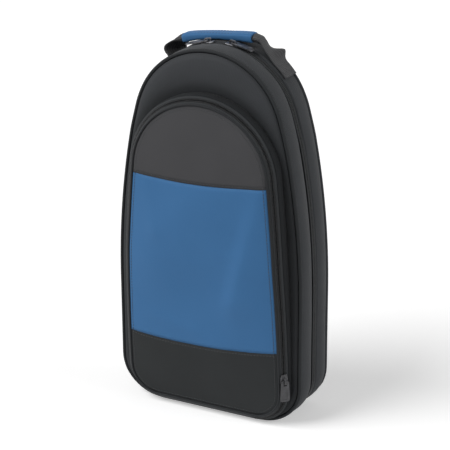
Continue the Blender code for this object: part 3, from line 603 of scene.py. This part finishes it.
# Painted shade on its cloth: darker close to the pocket, and in the narrow strip on the pocket's right, where the
# pocket shades it
close_by, strip_middle, strip_top, strip_fade = 0.010, 0.09, 0.42, 0.10
painted_shade = lid_front.data.attributes.new("painted_shade", "FLOAT", "POINT")
for n, vertex in enumerate(lid_front.data.vertices):
    place = Vector((vertex.co.x, 0.0, vertex.co.z))
    shade_by_pocket = math.exp(-((nearest(place, pocket_foot_line) / close_by) ** 2))
    beside = 0.0
    if place.x > 0:
        beside = min(1.0, abs(place.x) / strip_middle) ** 4 * clamp((strip_top - place.z) / strip_fade)
    painted_shade.data[n].value = max(shade_by_pocket, beside)
dress(lid_front, "lid_half", "black_cloth", "lid_panel")

# Linings, the block that holds the flute, and the pad that presses on it
lining_y = REAR_FACE - PANEL - GAP
lining = skin("rear_lining_plush", [case_line(INNER, lining_y), case_line(INNER, lining_y - LINING)], PLUSH)
dress(lining, "rear_half", "plush_lining", "rear_lining")


def rounded_copy(name, source, width, material):
    """A copy of a solid with its sharp edges rounded, and with cloth UVs from its front."""
    shape = bmesh.new()
    shape.from_mesh(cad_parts[source].data)
    bmesh.ops.remove_doubles(shape, verts=shape.verts, dist=1e-6)
    bmesh.ops.dissolve_limit(shape, angle_limit=math.radians(1), verts=shape.verts, edges=shape.edges)
    shape.loops.layers.uv.new("cloth")
    made = mesh_object(name, shape, material)
    step = made.modifiers.new("rounding", "BEVEL")
    step.width = width
    step.segments = 3
    step.limit_method = "ANGLE"
    step.angle_limit = math.radians(40)
    graph = bpy.context.evaluated_depsgraph_get()
    mesh = bpy.data.meshes.new_from_object(made.evaluated_get(graph))
    made.modifiers.clear()
    made.data = mesh
    shape = bmesh.new()
    shape.from_mesh(mesh)
    uv = shape.loops.layers.uv.get("cloth")
    for face in shape.faces:
        for corner in face.loops:
            p = corner.vert.co
            corner[uv].uv = (p.x + 0.5 * p.y, p.z + 0.5 * p.y)
    shape.to_mesh(mesh)
    shape.free()
    mesh.shade_smooth()
    mesh.set_sharp_from_angle(angle=math.radians(50))
    return made


block = rounded_copy("fitted_block_plush", "fitted_block", 0.002, PLUSH)
dress(block, "rear_half", "plush_lining", "fitted_block")

pad_front = LID_FACE + PANEL + GAP
# The pad's edge as insets and depths, then rings from its edge to its middle, which the padding pushes up
pad_edges = ((0.0, 0.0), (0.0, 0.012), (0.001, 0.016))
pad_loops = [case_line(INNER + drawn_in, pad_front + depth) for drawn_in, depth in pad_edges]
pad_edge = outline(CASE, INNER, 0.0, True)
pad_rings, edge_rings, edge_height, pad_swell = 15, 6, 0.018, 0.0058
widest, narrowest = 0.985, 0.015
for n in range(pad_rings + 1):
    scale = widest * (1 - n / pad_rings) + narrowest * (n / pad_rings)
    swell = 1 - (1 - min(1.0, (n + 1) / edge_rings)) ** 2
    depth = pad_front + edge_height + pad_swell * swell
    pad_loops.append([Vector((x * scale, depth, PANEL_MIDDLE + (z - PANEL_MIDDLE) * scale)) for x, z in pad_edge])
pad = skin("lid_pad_plush", pad_loops, PLUSH)
dress(pad, "lid_half", "plush_lining", "lid_pad")

# Zips. Across a tape, from the line where the two coils meet: where the tape is sewn, how far inside its edge it
# bends under the coil and how far outside its underside ends, and how close its end comes to that line
TAPE_SEWN, TAPE_BEND, TAPE_TURN, TAPE_MEET = 0.0048, 0.0008, 0.001, 0.00015
# How far below its line the tape runs under the coil, and how thick it is there
UNDER_COIL, UNDER_THICK = 0.0013, 0.0006
# Share of the first step of a line that the second coil starts later, so that its turns lie between the first one's
MAIN_OFFSET, POCKET_OFFSET = 0.14, 0.2


def proud(line):
    """The line pushed out with the padding on the long sides, where the zip stands up between its two seams.

    The push ends below the lowest place that the sliders reach.
    """
    pushed = []
    for p in line:
        out = ZIP_SHARE * side_swell(p.x, p.z) * clamp((ZIP_TOP - p.z) / ZIP_FADE)
        pushed.append(p + Vector((math.copysign(out, p.x), 0.0, 0.0)))
    return pushed


# Main zip, from one end of the flat base over the top to the other
top, low, under = TAPE_INSET - TAPE / 2, TAPE_INSET + TAPE / 2, TAPE_INSET + UNDER_COIL
rolled = (
    (top, TAPE_SEWN), (top, (TAPE_SEWN + TAPE_FREE) / 2), (top, TAPE_FREE), (under, TAPE_FREE - TAPE_BEND),
    (under, TAPE_MEET), (under + UNDER_THICK, TAPE_MEET), (under + UNDER_THICK, TAPE_FREE),
    (low, TAPE_FREE + TAPE_TURN), (low, TAPE_SEWN),
)
# The edge of the tape turns down into a dark groove where it is sewn to the wall
groove_top, groove_floor, groove_near, groove_far = top + 0.0013, top + 0.0019, 0.0044, 0.0068 - GAP
sunk = ((groove_top, groove_far), (groove_top, groove_near), (groove_floor, groove_near), (groove_floor, groove_far))
for side, body, name in ((1, "rear_half", "rear"), (-1, "lid_half", "lid")):
    loops = [proud(case_line(i, PARTING + side * d, False)) for i, d in rolled]
    tape = skin(f"{name}_zip_tape_cloth", loops, ZIP_TAPE, False, True)
    dress(tape, body, "zip_tape", f"{name}_zip_tape")
    loops = [case_line(i, PARTING + side * d, False) for i, d in sunk]
    edge = skin(f"{name}_zip_seam_edge", loops, SEAM_CLOTH, False, True)
    dress(edge, body, "zip_tape")
    line = proud(case_line(TAPE_INSET, PARTING + side * COIL_OFFSET, False))
    if side < 0:
        line[0] = line[0].lerp(line[1], MAIN_OFFSET)
    teeth = repeated(f"{name}_zip_coil_turns", TEETH, [(line, outward(line), False)], TURN)
    dress(teeth, body, "zip_coil", f"{name}_zip_coil")

# Cloth hinge along the base, between the two halves
flat = HALF - CORNER - GAP
hinge_span, hinge_bow, hinge_thick, hinge_steps, strip_steps = 0.013, 0.0005, 0.0013, 14, 20
rows = []
for n in range(hinge_steps + 1):
    bow = hinge_bow * math.cos((n / hinge_steps - 0.5) * math.pi)
    rows.append(((LID_SEAM + GAP) + hinge_span * n / hinge_steps, DRAW + bow))
profile = rows + [(y, z + hinge_thick) for y, z in reversed(rows)]
loops = [[Vector((flat * (2 * n / strip_steps - 1), y, z)) for n in range(strip_steps + 1)] for y, z in profile]
hinge = skin("hinge_cloth_strip", loops, PACK_CLOTH, closed_line=False, closed_profile=True)
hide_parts("hinge_cloth")
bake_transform(hinge)

for side in ("left", "right"):
    tab = rounded_copy(f"zip_end_tab_{side}_webbing", f"zip_end_tab_{side}", 0.0005, WEBBING_CLOTH)
    dress(tab, "rear_half", "black_webbing", f"zip_end_tab_{side}")

# Top-stitching beside each long seam of the walls, at a share of the wall's depth where its arch has begun
stitch_inset = DRAW * (1 - math.sin(math.pi * 0.08) ** 0.5) - THREAD_LIFT
for body, name, depths in (
    ("rear_half", "rear", (REAR_SEAM + STITCH_FROM_SEAM, rear_far - STITCH_FROM_SEAM)),
    ("lid_half", "lid", (lid_near + STITCH_FROM_SEAM, LID_SEAM - STITCH_FROM_SEAM)),
):
    lines = []
    for depth in depths:
        line = case_line(stitch_inset, depth)
        lines.append((line, outward(line), True))
    dress(repeated(f"{name}_wall_stitching", STITCHES, lines, STITCH), body, "black_cloth")

# The pocket's side, which stands on the lid and rolls over to the band with the zip: insets, and the share of the way
# from the band down to the lid, where None is on the lid itself
side_profile = [
    (-BAND + POCKET_CLOTH, None), (-BAND - 0.0006, None), (-BAND - 0.0010, 0.60), (-BAND - 0.0009, 0.25),
    (-BAND - 0.0004, 0.08), (-BAND + 0.0002, 0.0), (-BAND + POCKET_CLOTH, 0.0), (-BAND + POCKET_CLOTH, 0.5),
]
foot_depth = LID_FACE - 0.0002
loops = []
for inset, share in side_profile:
    line = pocket_line(inset, BAND)
    if share is None:
        loops.append([Vector((p.x, foot_depth, p.z)) for p in line])
    else:
        loops.append([Vector((p.x, p.y + (LID_FACE - p.y) * share, p.z)) for p in line])
# The pocket's side is darkened as painted shade
gusset = skin("pocket_side_cloth", loops, GUSSET_SHADE_CLOTH, closed_profile=True)
dress(gusset, "lid_half", "black_cloth", "pocket_side")

# Pocket zip, in the sloped band between the face and the pocket's side
middle = BAND_LENGTH / 2
for body, name, side, seam in (
    ("pocket_flap", "pocket_flap", -1, middle - FLAP_PIPE - GAP),
    ("lid_half", "pocket_side", 1, middle - GAP - TAPE / 2),
):
    half, coil = TAPE / 2, middle + side * COIL_OFFSET
    rolled = (
        (seam, -half), ((seam + TAPE_FREE) / 2, -half), (TAPE_FREE, -half), (TAPE_FREE - TAPE_BEND, UNDER_COIL),
        (TAPE_MEET, UNDER_COIL), (TAPE_MEET, 0.0018), (TAPE_FREE, 0.0018), (TAPE_FREE + TAPE_TURN, half),
        (seam, half),
    )
    loops = [band_line(middle + side * a, i) for a, i in rolled]
    tape = skin(f"{name}_zip_tape_cloth", loops, ZIP_TAPE, False, True)
    dress(tape, body, "zip_tape", f"{name}_zip_tape")
    line = band_line(coil, 0.0)
    if body == "lid_half":
        line[0] = line[0].lerp(line[1], POCKET_OFFSET)
    teeth = repeated(f"{name}_zip_coil_turns", TEETH, [(line, outward(line, -1.0), False)], TURN)
    dress(teeth, body, "zip_coil", f"{name}_zip_coil")

# Cloth hinge along the pocket's foot, across the band from the face to the side
start, end = FLAP_PIPE + GAP, BAND_LENGTH - GAP
flat_half = POCKET_HALF - POCKET_CORNER
fold_steps, fold_thick, fold_bow = 12, 0.0008, 0.0004
profile = [
    (start + (end - start) * n / fold_steps, -fold_thick - fold_bow * math.sin(math.pi * n / fold_steps))
    for n in range(fold_steps + 1)
]
loops = []
for along, inward in profile + [(end, 0.0), (start, 0.0)]:
    place = band_line(along, inward)[0]
    row = [Vector((flat_half * (1 - 2 * n / strip_steps), place.y, place.z)) for n in range(strip_steps + 1)]
    loops.append(row)
fold = skin("pocket_hinge_cloth_strip", loops, PACK_CLOTH, closed_line=False, closed_profile=True)
dress(fold, "lid_half", "black_cloth", "pocket_hinge_cloth")


# The pocket's face: three sections of cloth over a soft swell
def face_outline(inset):
    """The right half of the face's outline, from its foot up."""
    points = outline(POCKET, inset, POCKET_BASE, False)
    right = [(x, z) for x, z in points if x >= 0]
    return sorted(right, key=lambda p: p[1])


def half_width(z, right):
    """Half the width of an outline at a height."""
    if z <= right[0][1]:
        return right[0][0]
    for (x0, z0), (x1, z1) in zip(right, right[1:]):
        if z0 <= z <= z1:
            return x0 + (x1 - x0) * (z - z0) / max(z1 - z0, 1e-9)
    return 0.0


FACE_EDGE = FLAP_PIPE + GAP
face_right = face_outline(FACE_EDGE)
face_top = max(z for _, z in face_right)
face_low = face_right[0][1]


def seam_at(middle, tilt, sag):
    """The height of a seam across the face as a function of X."""
    return lambda x: middle + tilt * x + sag * x * x


# The seams under and over the blue section sag a little and are sewn higher on the right
low_seam, high_seam = seam_at(0.0990, 0.038, 0.38), seam_at(0.3200, 0.030, 0.30)

# Soft folds in the blue section: both ends in X and Z, the width of the flank on each side, and the height. The first
# flank is the one on the right of the way from the first end to the second.
FOLDS = (
    (0.091, 0.316, 0.054, 0.176, 0.014, 0.045, 0.0068), (0.024, 0.230, 0.080, 0.234, 0.008, 0.008, 0.0006),
    (-0.005, 0.290, -0.075, 0.225, 0.035, 0.060, 0.0050), (-0.078, 0.306, -0.060, 0.250, 0.013, 0.013, 0.0020),
    (0.070, 0.180, 0.092, 0.140, 0.012, 0.012, 0.0012), (-0.070, 0.130, -0.010, 0.118, 0.010, 0.010, 0.0010),
    (-0.030, 0.352, 0.030, 0.345, 0.012, 0.012, 0.0008),
)


def fold_height(x, z):
    """How far the folds lift the cloth at a place."""
    total = 0.0
    for x0, z0, x1, z1, first, second, height in FOLDS:
        length = math.hypot(x1 - x0, z1 - z0)
        along = ((x - x0) * (x1 - x0) + (z - z0) * (z1 - z0)) / length**2
        held = clamp(along)
        off = math.hypot(x - x0 - held * (x1 - x0), z - z0 - held * (z1 - z0))
        side = ((x - x0) * (z1 - z0) - (z - z0) * (x1 - x0)) / (length * max(off, 1e-6))
        width = second + (first - second) * clamp(0.5 + 0.5 * side)
        total += height * math.exp(-((off / width) ** 2))
    return total


# How far in from its edge the face goes on swelling, how wide and deep a seam pulls it in, and how much of the crown
# is left to the waves
FACE_RISE, SEAM_WIDTH, SEAM_PULL, WAVE_SPARE = 0.085, 0.0024, 0.0011, 0.001


def face_y(x, z, wide):
    """Depth of the pocket's face at a place: pulled in at its edge and at the seams between its sections."""
    from_side = max(0.0, wide - abs(x))
    from_end = min(z - face_low, face_top - z)
    side_rise = math.sin(min(1.0, from_side / FACE_RISE) * math.pi / 2) ** 0.7
    end_rise = math.sin(min(1.0, max(0.0, from_end) / FACE_RISE) * math.pi / 2) ** 0.7
    swell = side_rise * end_rise
    groove = sum(math.exp(-(((z - seam) / SEAM_WIDTH) ** 2)) for seam in (low_seam(x), high_seam(x)))
    broad = soft((x, 0.0, z * 0.6), 0.06, 0.0014, 11.0)
    waves = broad + soft((x + z * 0.7, 0.0, z * 0.35), 0.022, 0.0005, 4.0)
    pulled = pocket_front(z) - (CROWN - WAVE_SPARE) * swell + SEAM_PULL * groove * swell
    return pulled - (waves + fold_height(x, z)) * swell


def face_section(name, low, high, material, node_name, slot):
    """A section of the face between two seams, each a function of X."""
    columns, row_height, fewest_rows, settling = 56, 0.004, 12, 4
    rows = max(fewest_rows, round((high(0.0) - low(0.0)) / row_height))
    shape = bmesh.new()
    uv = shape.loops.layers.uv.new("cloth")
    sheets = []
    for back in (False, True):
        sheet = []
        for n in range(rows + 1):
            share = n / rows
            if high(0.0) == face_top:
                share = math.sin(share * math.pi / 2)
            row = []
            for c in range(columns + 1):
                x, across = 0.0, math.sin((2 * c / columns - 1) * math.pi / 2)
                # The height follows from X and the width from the height, so they are settled together
                for _ in range(settling):
                    z = low(x) + (high(x) - low(x)) * share
                    wide = half_width(z, face_right)
                    x = wide * across
                y = pocket_front(z) + FLAP if back else face_y(x, z, wide)
                row.append(shape.verts.new((x, y, z)))
            sheet.append(row)
        sheets.append(sheet)
    front, rear = sheets
    for n in range(rows):
        for c in range(columns):
            shape.faces.new((front[n][c], front[n][c + 1], front[n + 1][c + 1], front[n + 1][c]))
            shape.faces.new((rear[n + 1][c], rear[n + 1][c + 1], rear[n][c + 1], rear[n][c]))
        for c, flip in ((0, False), (columns, True)):
            quad = (front[n][c], front[n + 1][c], rear[n + 1][c], rear[n][c])
            shape.faces.new(quad[::-1] if flip else quad)
    for n in (0, rows):
        for c in range(columns):
            shape.faces.new((front[n][c], rear[n][c], rear[n][c + 1], front[n][c + 1]))
    bmesh.ops.remove_doubles(shape, verts=shape.verts, dist=1e-5)
    for face in shape.faces:
        for corner in face.loops:
            p = corner.vert.co
            corner[uv].uv = (p.x, p.z)
    dress(mesh_object(name, shape, material), "pocket_flap", slot, node_name)


def shifted(seam, by):
    """A seam moved up by a distance, also as a function of X."""
    return lambda x: seam(x) + by


crack = 0.00015  # half the gap between two sections
for name, low, high, material, slot in (
    ("bottom", lambda x: face_low, shifted(low_seam, -crack), DULL_CLOTH, "black_cloth"),
    ("middle", shifted(low_seam, crack), shifted(high_seam, -crack), BLUE_CLOTH, "blue_cloth"),
    ("top", shifted(high_seam, crack), lambda x: face_top, GREY_CLOTH, "grey_cloth"),
):
    face_section(f"pocket_face_{name}_cloth", low, high, material, f"pocket_face_{name}", slot)
face_pipe = piping("pocket_piping_cord", -0.0002, 0.0, FLAP_PIPE + PIPE_EXTRA, pocket_line)
dress(face_pipe, "pocket_flap", "black_piping", "pocket_piping")

# Stitching on the face: beside the piping, under the lower seam and over the upper one
from_piping, from_seam, from_end, seam_points = 0.0035, 0.003, 0.004, 60
lines = []
inner = outline(POCKET, FACE_EDGE + from_piping, POCKET_BASE, True)
line = [Vector((x, face_y(x, z, half_width(z, face_right)) - THREAD_LIFT, z)) for x, z in inner]
lines.append((line, [Vector((0, -1, 0))] * len(line), True))
for seam in (shifted(low_seam, -from_seam), shifted(high_seam, from_seam)):
    wide = half_width(seam(0.0), face_right)
    line = [Vector(((wide - from_end) * (2 * n / seam_points - 1), 0.0, 0.0)) for n in range(seam_points + 1)]
    for p in line:
        p.z = seam(p.x)
        p.y = face_y(p.x, p.z, wide) - THREAD_LIFT
    lines.append((line, [Vector((0, -1, 0))] * len(line), False))
dress(repeated("pocket_face_stitching", STITCHES, lines, STITCH), "pocket_flap", "black_cloth")


# Carrying handle
def smooth_path(points, steps):
    """A smooth curve through points, with so many steps from each one to the next."""
    padded = [points[0]] + list(points) + [points[-1]]
    line = []
    for a, b, c, d in zip(padded, padded[1:], padded[2:], padded[3:]):
        for n in range(steps):
            t = n / steps
            bend = 2 * a - 5 * b + 4 * c - d
            line.append(0.5 * (2 * b + (c - a) * t + bend * t**2 + (3 * b - a - 3 * c + d) * t**3))
    return line + [padded[-2]]


def handle_line(steps):
    """Points of the handle's line, each with its neck share as a fourth value."""
    lift = TOP_RADIUS + GAP + WEBBING / 2
    places = []
    for degrees, share, neck in HANDLE_LINE:
        reach, turn = lift + RISE * share, math.radians(degrees)
        places.append(Vector((reach * math.sin(turn), -LEAN * neck, TOP_CENTRE + reach * math.cos(turn), neck)))
    return smooth_path(places, steps)


def ways_out(line):
    """For each point of a line in X and Z, the way out of it."""
    found = []
    for n in range(len(line)):
        way = line[min(n + 1, len(line) - 1)] - line[max(n - 1, 0)]
        found.append(Vector((-way.z, 0.0, way.x)).normalized())
    return found


def along_path(line, section_at):
    """A loop for each point of a line.

    Section_at gives pairs of distances across and out for the share of the way along the line and the point there.
    """
    loops = []
    for n, (point, out) in enumerate(zip(line, ways_out(line))):
        section = section_at(n / (len(line) - 1), point)
        loops.append([point.to_3d() + Vector((0.0, across, 0.0)) + out * height for across, height in section])
    return loops


whole_line = handle_line(STEPS)
grip_line = whole_line[GRIP_FIRST * STEPS + 2 : GRIP_LAST * STEPS + 1]
thin = WEBBING / 2


def round_arc(point):
    """Degrees round the case's top arc."""
    return math.degrees(math.atan2(point.x, point.z - TOP_CENTRE))


def hump(value, middle, width):
    """A bell curve of height 1."""
    return math.exp(-(((value - middle) / width) ** 2))


# Where the grip starts and ends, in degrees, and how much thicker than its middle it is there, as a share
GRIP_START, GRIP_END, LOOSE = round_arc(grip_line[0]), round_arc(grip_line[-1]), 0.22
# How many degrees the webbing stays bunched outside the grip, and how many degrees away from it that starts
BUNCHED, BUNCH_GAP = 5.5, 0.2
# The fold at the right foot and the dip before it: how high the rear edge stands, its place in degrees, its breadth
REAR_CURL = ((0.0085, 35.0, 3.2), (-0.0030, 28.0, 3.0))
# The left leg's twist: its place in degrees and its breadth, how far the leg moves in, and how much further in and up
# each point goes for its distance behind the middle of the webbing
TWIST_PLACE, TWIST_BREADTH, TWIST_IN, TWIST_TURN, TWIST_RISE = -44.0, 4.5, 0.0080, 0.8, 0.25


def strap_section(_, point):
    """Flat webbing, drawn in where it runs into the grip, and bunched up thick just outside it.

    Its rear edge curls up into a fold at the right foot.
    """
    columns = 16
    half = (WEBBING_WIDTH + (NECK_WIDTH - WEBBING_WIDTH) * point.w) / 2
    degrees = round_arc(point)
    outside = max(GRIP_START - BUNCH_GAP - degrees, degrees - GRIP_END - BUNCH_GAP)
    bunch = max(0.0, 1 - outside / BUNCHED) ** 0.7 if outside > 0 else 0.0
    thick = thin + (GRIP * (0.5 + LOOSE) - thin) * bunch
    under, over = [], []
    for n in range(columns + 1):
        a = half * (2 * n / columns - 1)
        flat = math.sqrt(max(0.0, 1 - (a / half) ** 2)) * bunch + (1 - bunch) * (1.0 if n % columns else 0.5)
        curl = sum(height * hump(degrees, place, breadth) for height, place, breadth in REAR_CURL)
        curl *= max(0.0, a / half) ** 1.3
        curl -= LOOSE * GRIP * 0.5 * bunch
        under.append((a, curl - max(thin * 0.5, thick * flat)))
        over.append((a, curl + max(thin * 0.5, thick * flat)))
    return under + over[::-1]


strap_loops = along_path(whole_line, strap_section)
# The left leg stands a little askew, with its front edge further out than its rear edge
for point, loop in zip(whole_line, strap_loops):
    askew = hump(round_arc(point), TWIST_PLACE, TWIST_BREADTH)
    for p in loop:
        p.x += askew * (TWIST_IN + (p.y - point.y) * TWIST_TURN)
        p.z += askew * max(0.0, p.y - point.y) * TWIST_RISE
strap = skin("handle_strap_webbing", strap_loops, WEBBING_CLOTH)
dress(strap, "rear_half", "black_webbing", "handle_strap")


RING = [(math.cos(2 * math.pi * n / 48), math.sin(2 * math.pi * n / 48)) for n in range(48)]
# The wrap, in shares: how much of its length is bound at each end, how thick it is there, how much of its width the
# binding leaves alone, and how thick the wrap is in its middle
BOUND_ENDS, BOUND_THICK, BOUND_WIDE, MIDDLE_THICK = 0.06, 0.86, 0.4, 0.56
# How square the wrap is across and outwards, and how square its hole is: 1 is round, and less is squarer
WRAP_ACROSS, WRAP_OUT, HOLE_SQUARE = 0.5, 0.65, 0.12


def grip_section(share, _):
    """Round-cornered padded wrap, pressed flatter in its middle and bound to the webbing at both ends."""
    swell = min(1.0, share / BOUND_ENDS, (1 - share) / BOUND_ENDS)
    swell = BOUND_THICK + (1 - BOUND_THICK) * math.sin(swell * math.pi / 2)
    loose = abs(2 * share - 1) ** 1.3
    ring = []
    for c, s in RING:
        across = math.copysign(abs(c) ** WRAP_ACROSS, c) * GRIP_WIDTH / 2 * (BOUND_WIDE + (1 - BOUND_WIDE) * swell)
        out = math.copysign(abs(s) ** WRAP_OUT, s) * GRIP * (MIDDLE_THICK + LOOSE * loose) * swell
        ring.append((across, out - LOOSE * GRIP * 0.5 * loose))
    return ring


def hole_section(_share, _point):
    """The flat hole through the wrap, with room for the webbing."""
    ring = []
    for c, s in RING:
        across = math.copysign(abs(c) ** HOLE_SQUARE, c) * (NECK_WIDTH / 2 + GRIP_CLEAR)
        ring.append((across, math.copysign(abs(s) ** HOLE_SQUARE, s) * (thin + GRIP_CLEAR)))
    return ring


grip = skin(
    "handle_grip_wrap", along_path(grip_line, grip_section) + along_path(grip_line, hole_section)[::-1], BLUE_CLOTH,
    closed_profile=True,
)
dress(grip, "rear_half", "blue_cloth", "handle_grip")

# Two rows of stitches along the grip, which stop short of its ends
lines = []
short, row_place, row_lift = slice(3, -3), GRIP_WIDTH * 0.36, GRIP * 0.50
outs = ways_out(grip_line)[short]
for across in (-row_place, row_place):
    line = [p.to_3d() + Vector((0.0, across, 0.0)) + out * row_lift for p, out in zip(grip_line[short], outs)]
    lines.append((line, outs, False))
dress(repeated("handle_grip_stitching", STITCHES, lines, STITCH), "rear_half", "blue_cloth")


def foot_lines(first, last):
    """A stitched box with a cross in it, on one foot of the handle. First and last are degrees round the top arc."""
    reach, side, steps = TOP_RADIUS + GAP + WEBBING + THREAD_LIFT, WEBBING_WIDTH * 0.38, 12
    corners = [(first, -side), (last, -side), (last, side), (first, side)]
    runs = [(corners[n], corners[(n + 1) % 4]) for n in range(4)]
    runs += [(corners[0], corners[2]), (corners[1], corners[3])]
    found = []
    for (a, y0), (b, y1) in runs:
        line, outs = [], []
        for n in range(steps + 1):
            turn = math.radians(a + (b - a) * n / steps)
            out = Vector((math.sin(turn), 0.0, math.cos(turn)))
            line.append(Vector((0.0, y0 + (y1 - y0) * n / steps, TOP_CENTRE)) + out * reach)
            outs.append(out)
        found.append((line, outs, False))
    return found


LEFT_FOOT, RIGHT_FOOT = (-59.0, -51.5), (42.0, 51.0)
lines = foot_lines(*LEFT_FOOT) + foot_lines(*RIGHT_FOOT)
dress(repeated("handle_foot_stitching", STITCHES, lines, STITCH), "rear_half", "black_webbing")

# Sliders and pulls keep their solids
for material, names in (
    (NICKEL, ("main_slider_left", "main_slider_right", "main_pull_left", "main_pull_right")),
    (PAINTED, ("pocket_slider", "pocket_pull")),
):
    for name in names:
        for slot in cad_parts[name].material_slots:
            slot.material = material


# Floor, light and camera

def seen_directly(tree):
    """A value that is 1 for what the camera sees straight, in a shine or through a surface, and 0 for other light."""
    path = node(tree, "ShaderNodeLightPath")
    seen = path.outputs["Is Camera Ray"]
    for way in ("Is Glossy Ray", "Is Transmission Ray"):
        seen = node(tree, "ShaderNodeMath", {"operation": "MAXIMUM"}, {0: seen, 1: path.outputs[way]}).outputs[0]
    return seen


def plain_ground():
    """Pale matt ground: plain white where the light reaches it, with the shadows left in."""
    made, tree, shader = new_material("matt white ground")
    place = node(tree, "ShaderNodeTexCoord")
    grain = node(tree, "ShaderNodeTexNoise", {"Scale": 3.0}, {"Vector": place.outputs["Object"]})
    ramp = node(tree, "ShaderNodeValToRGB", None, {"Fac": grain.outputs["Fac"]})
    ramp.color_ramp.elements[0].color = hex_colour("#f1f1f1")
    ramp.color_ramp.elements[1].color = hex_colour("#f5f5f5")
    glow = node(tree, "ShaderNodeMath", {"operation": "MULTIPLY", 1: 0.38}, {0: seen_directly(tree)})
    tree.links.new(ramp.outputs["Color"], shader.inputs["Base Color"])
    tree.links.new(glow.outputs[0], shader.inputs["Emission Strength"])
    shader.inputs["Emission Color"].default_value = (1.0, 1.0, 1.0, 1.0)
    shader.inputs["Roughness"].default_value = 0.9
    shader.inputs["Specular IOR Level"].default_value = 0.1
    return made


# The floor lies a little lower than the case's base, so that the two share no plane
FLOOR_SIZE, FLOOR_DROP = 12.0, 0.0006
bpy.ops.mesh.primitive_plane_add(size=FLOOR_SIZE, location=(0.0, 0.0, -FLOOR_DROP))
floor = bpy.context.object
floor.name = "floor"
floor.data.materials.append(plain_ground())

world = bpy.data.worlds.new("plain studio")
bpy.context.scene.world = world
world.use_nodes = True
tree = world.node_tree
background = tree.nodes["Background"]
background.inputs["Color"].default_value = (1.0, 1.0, 1.0, 1.0)
level = node(tree, "ShaderNodeMath", {"operation": "MULTIPLY_ADD", 1: 0.8, 2: 0.2}, {0: seen_directly(tree)})
tree.links.new(level.outputs[0], background.inputs["Strength"])

# Two broad, even lights: degrees to the right of the pocket's front, degrees up, strength and breadth in degrees
for name, around, above, strength, breadth in (
    ("front_left_light", -42.0, 46.0, 2.2, 40.0),
    ("right_light", 100.0, 22.0, 0.8, 40.0),
):
    data = bpy.data.lights.new(name, "SUN")
    data.energy = strength
    data.angle = math.radians(breadth)
    light = bpy.data.objects.new(name, data)
    around, above = math.radians(around), math.radians(above)
    way = Vector((math.sin(around) * math.cos(above), -math.cos(around) * math.cos(above), math.sin(above)))
    light.location = way * 3.0
    light.rotation_euler = way.to_track_quat("Z", "Y").to_euler()
    bpy.context.scene.collection.objects.link(light)

YAW, ELEVATION, ROLL = math.radians(27.644), math.radians(20.76), math.radians(0.297)
DISTANCE, TARGET, PIXELS_PER_METRE, PICTURE_WIDTH = 2.255, Vector((0.02386, LID_FACE, 0.26034)), 799.0, 450
right = Vector((math.cos(YAW), math.sin(YAW), 0.0))
toward = Vector((math.sin(YAW) * math.cos(ELEVATION), -math.cos(YAW) * math.cos(ELEVATION), math.sin(ELEVATION)))
up = toward.cross(right)
camera_right = right * math.cos(ROLL) - up * math.sin(ROLL)
camera_up = right * math.sin(ROLL) + up * math.cos(ROLL)
data = bpy.data.cameras.new("photo_camera")
data.sensor_width = 36.0
data.lens = PIXELS_PER_METRE * DISTANCE * data.sensor_width / PICTURE_WIDTH
camera = bpy.data.objects.new("photo_camera", data)
turn = Matrix((camera_right, camera_up, toward)).transposed().to_4x4()
camera.matrix_world = Matrix.Translation(TARGET + toward * DISTANCE) @ turn
bpy.context.scene.collection.objects.link(camera)
bpy.context.scene.camera = camera
bpy.context.scene.view_settings.view_transform = "Standard"
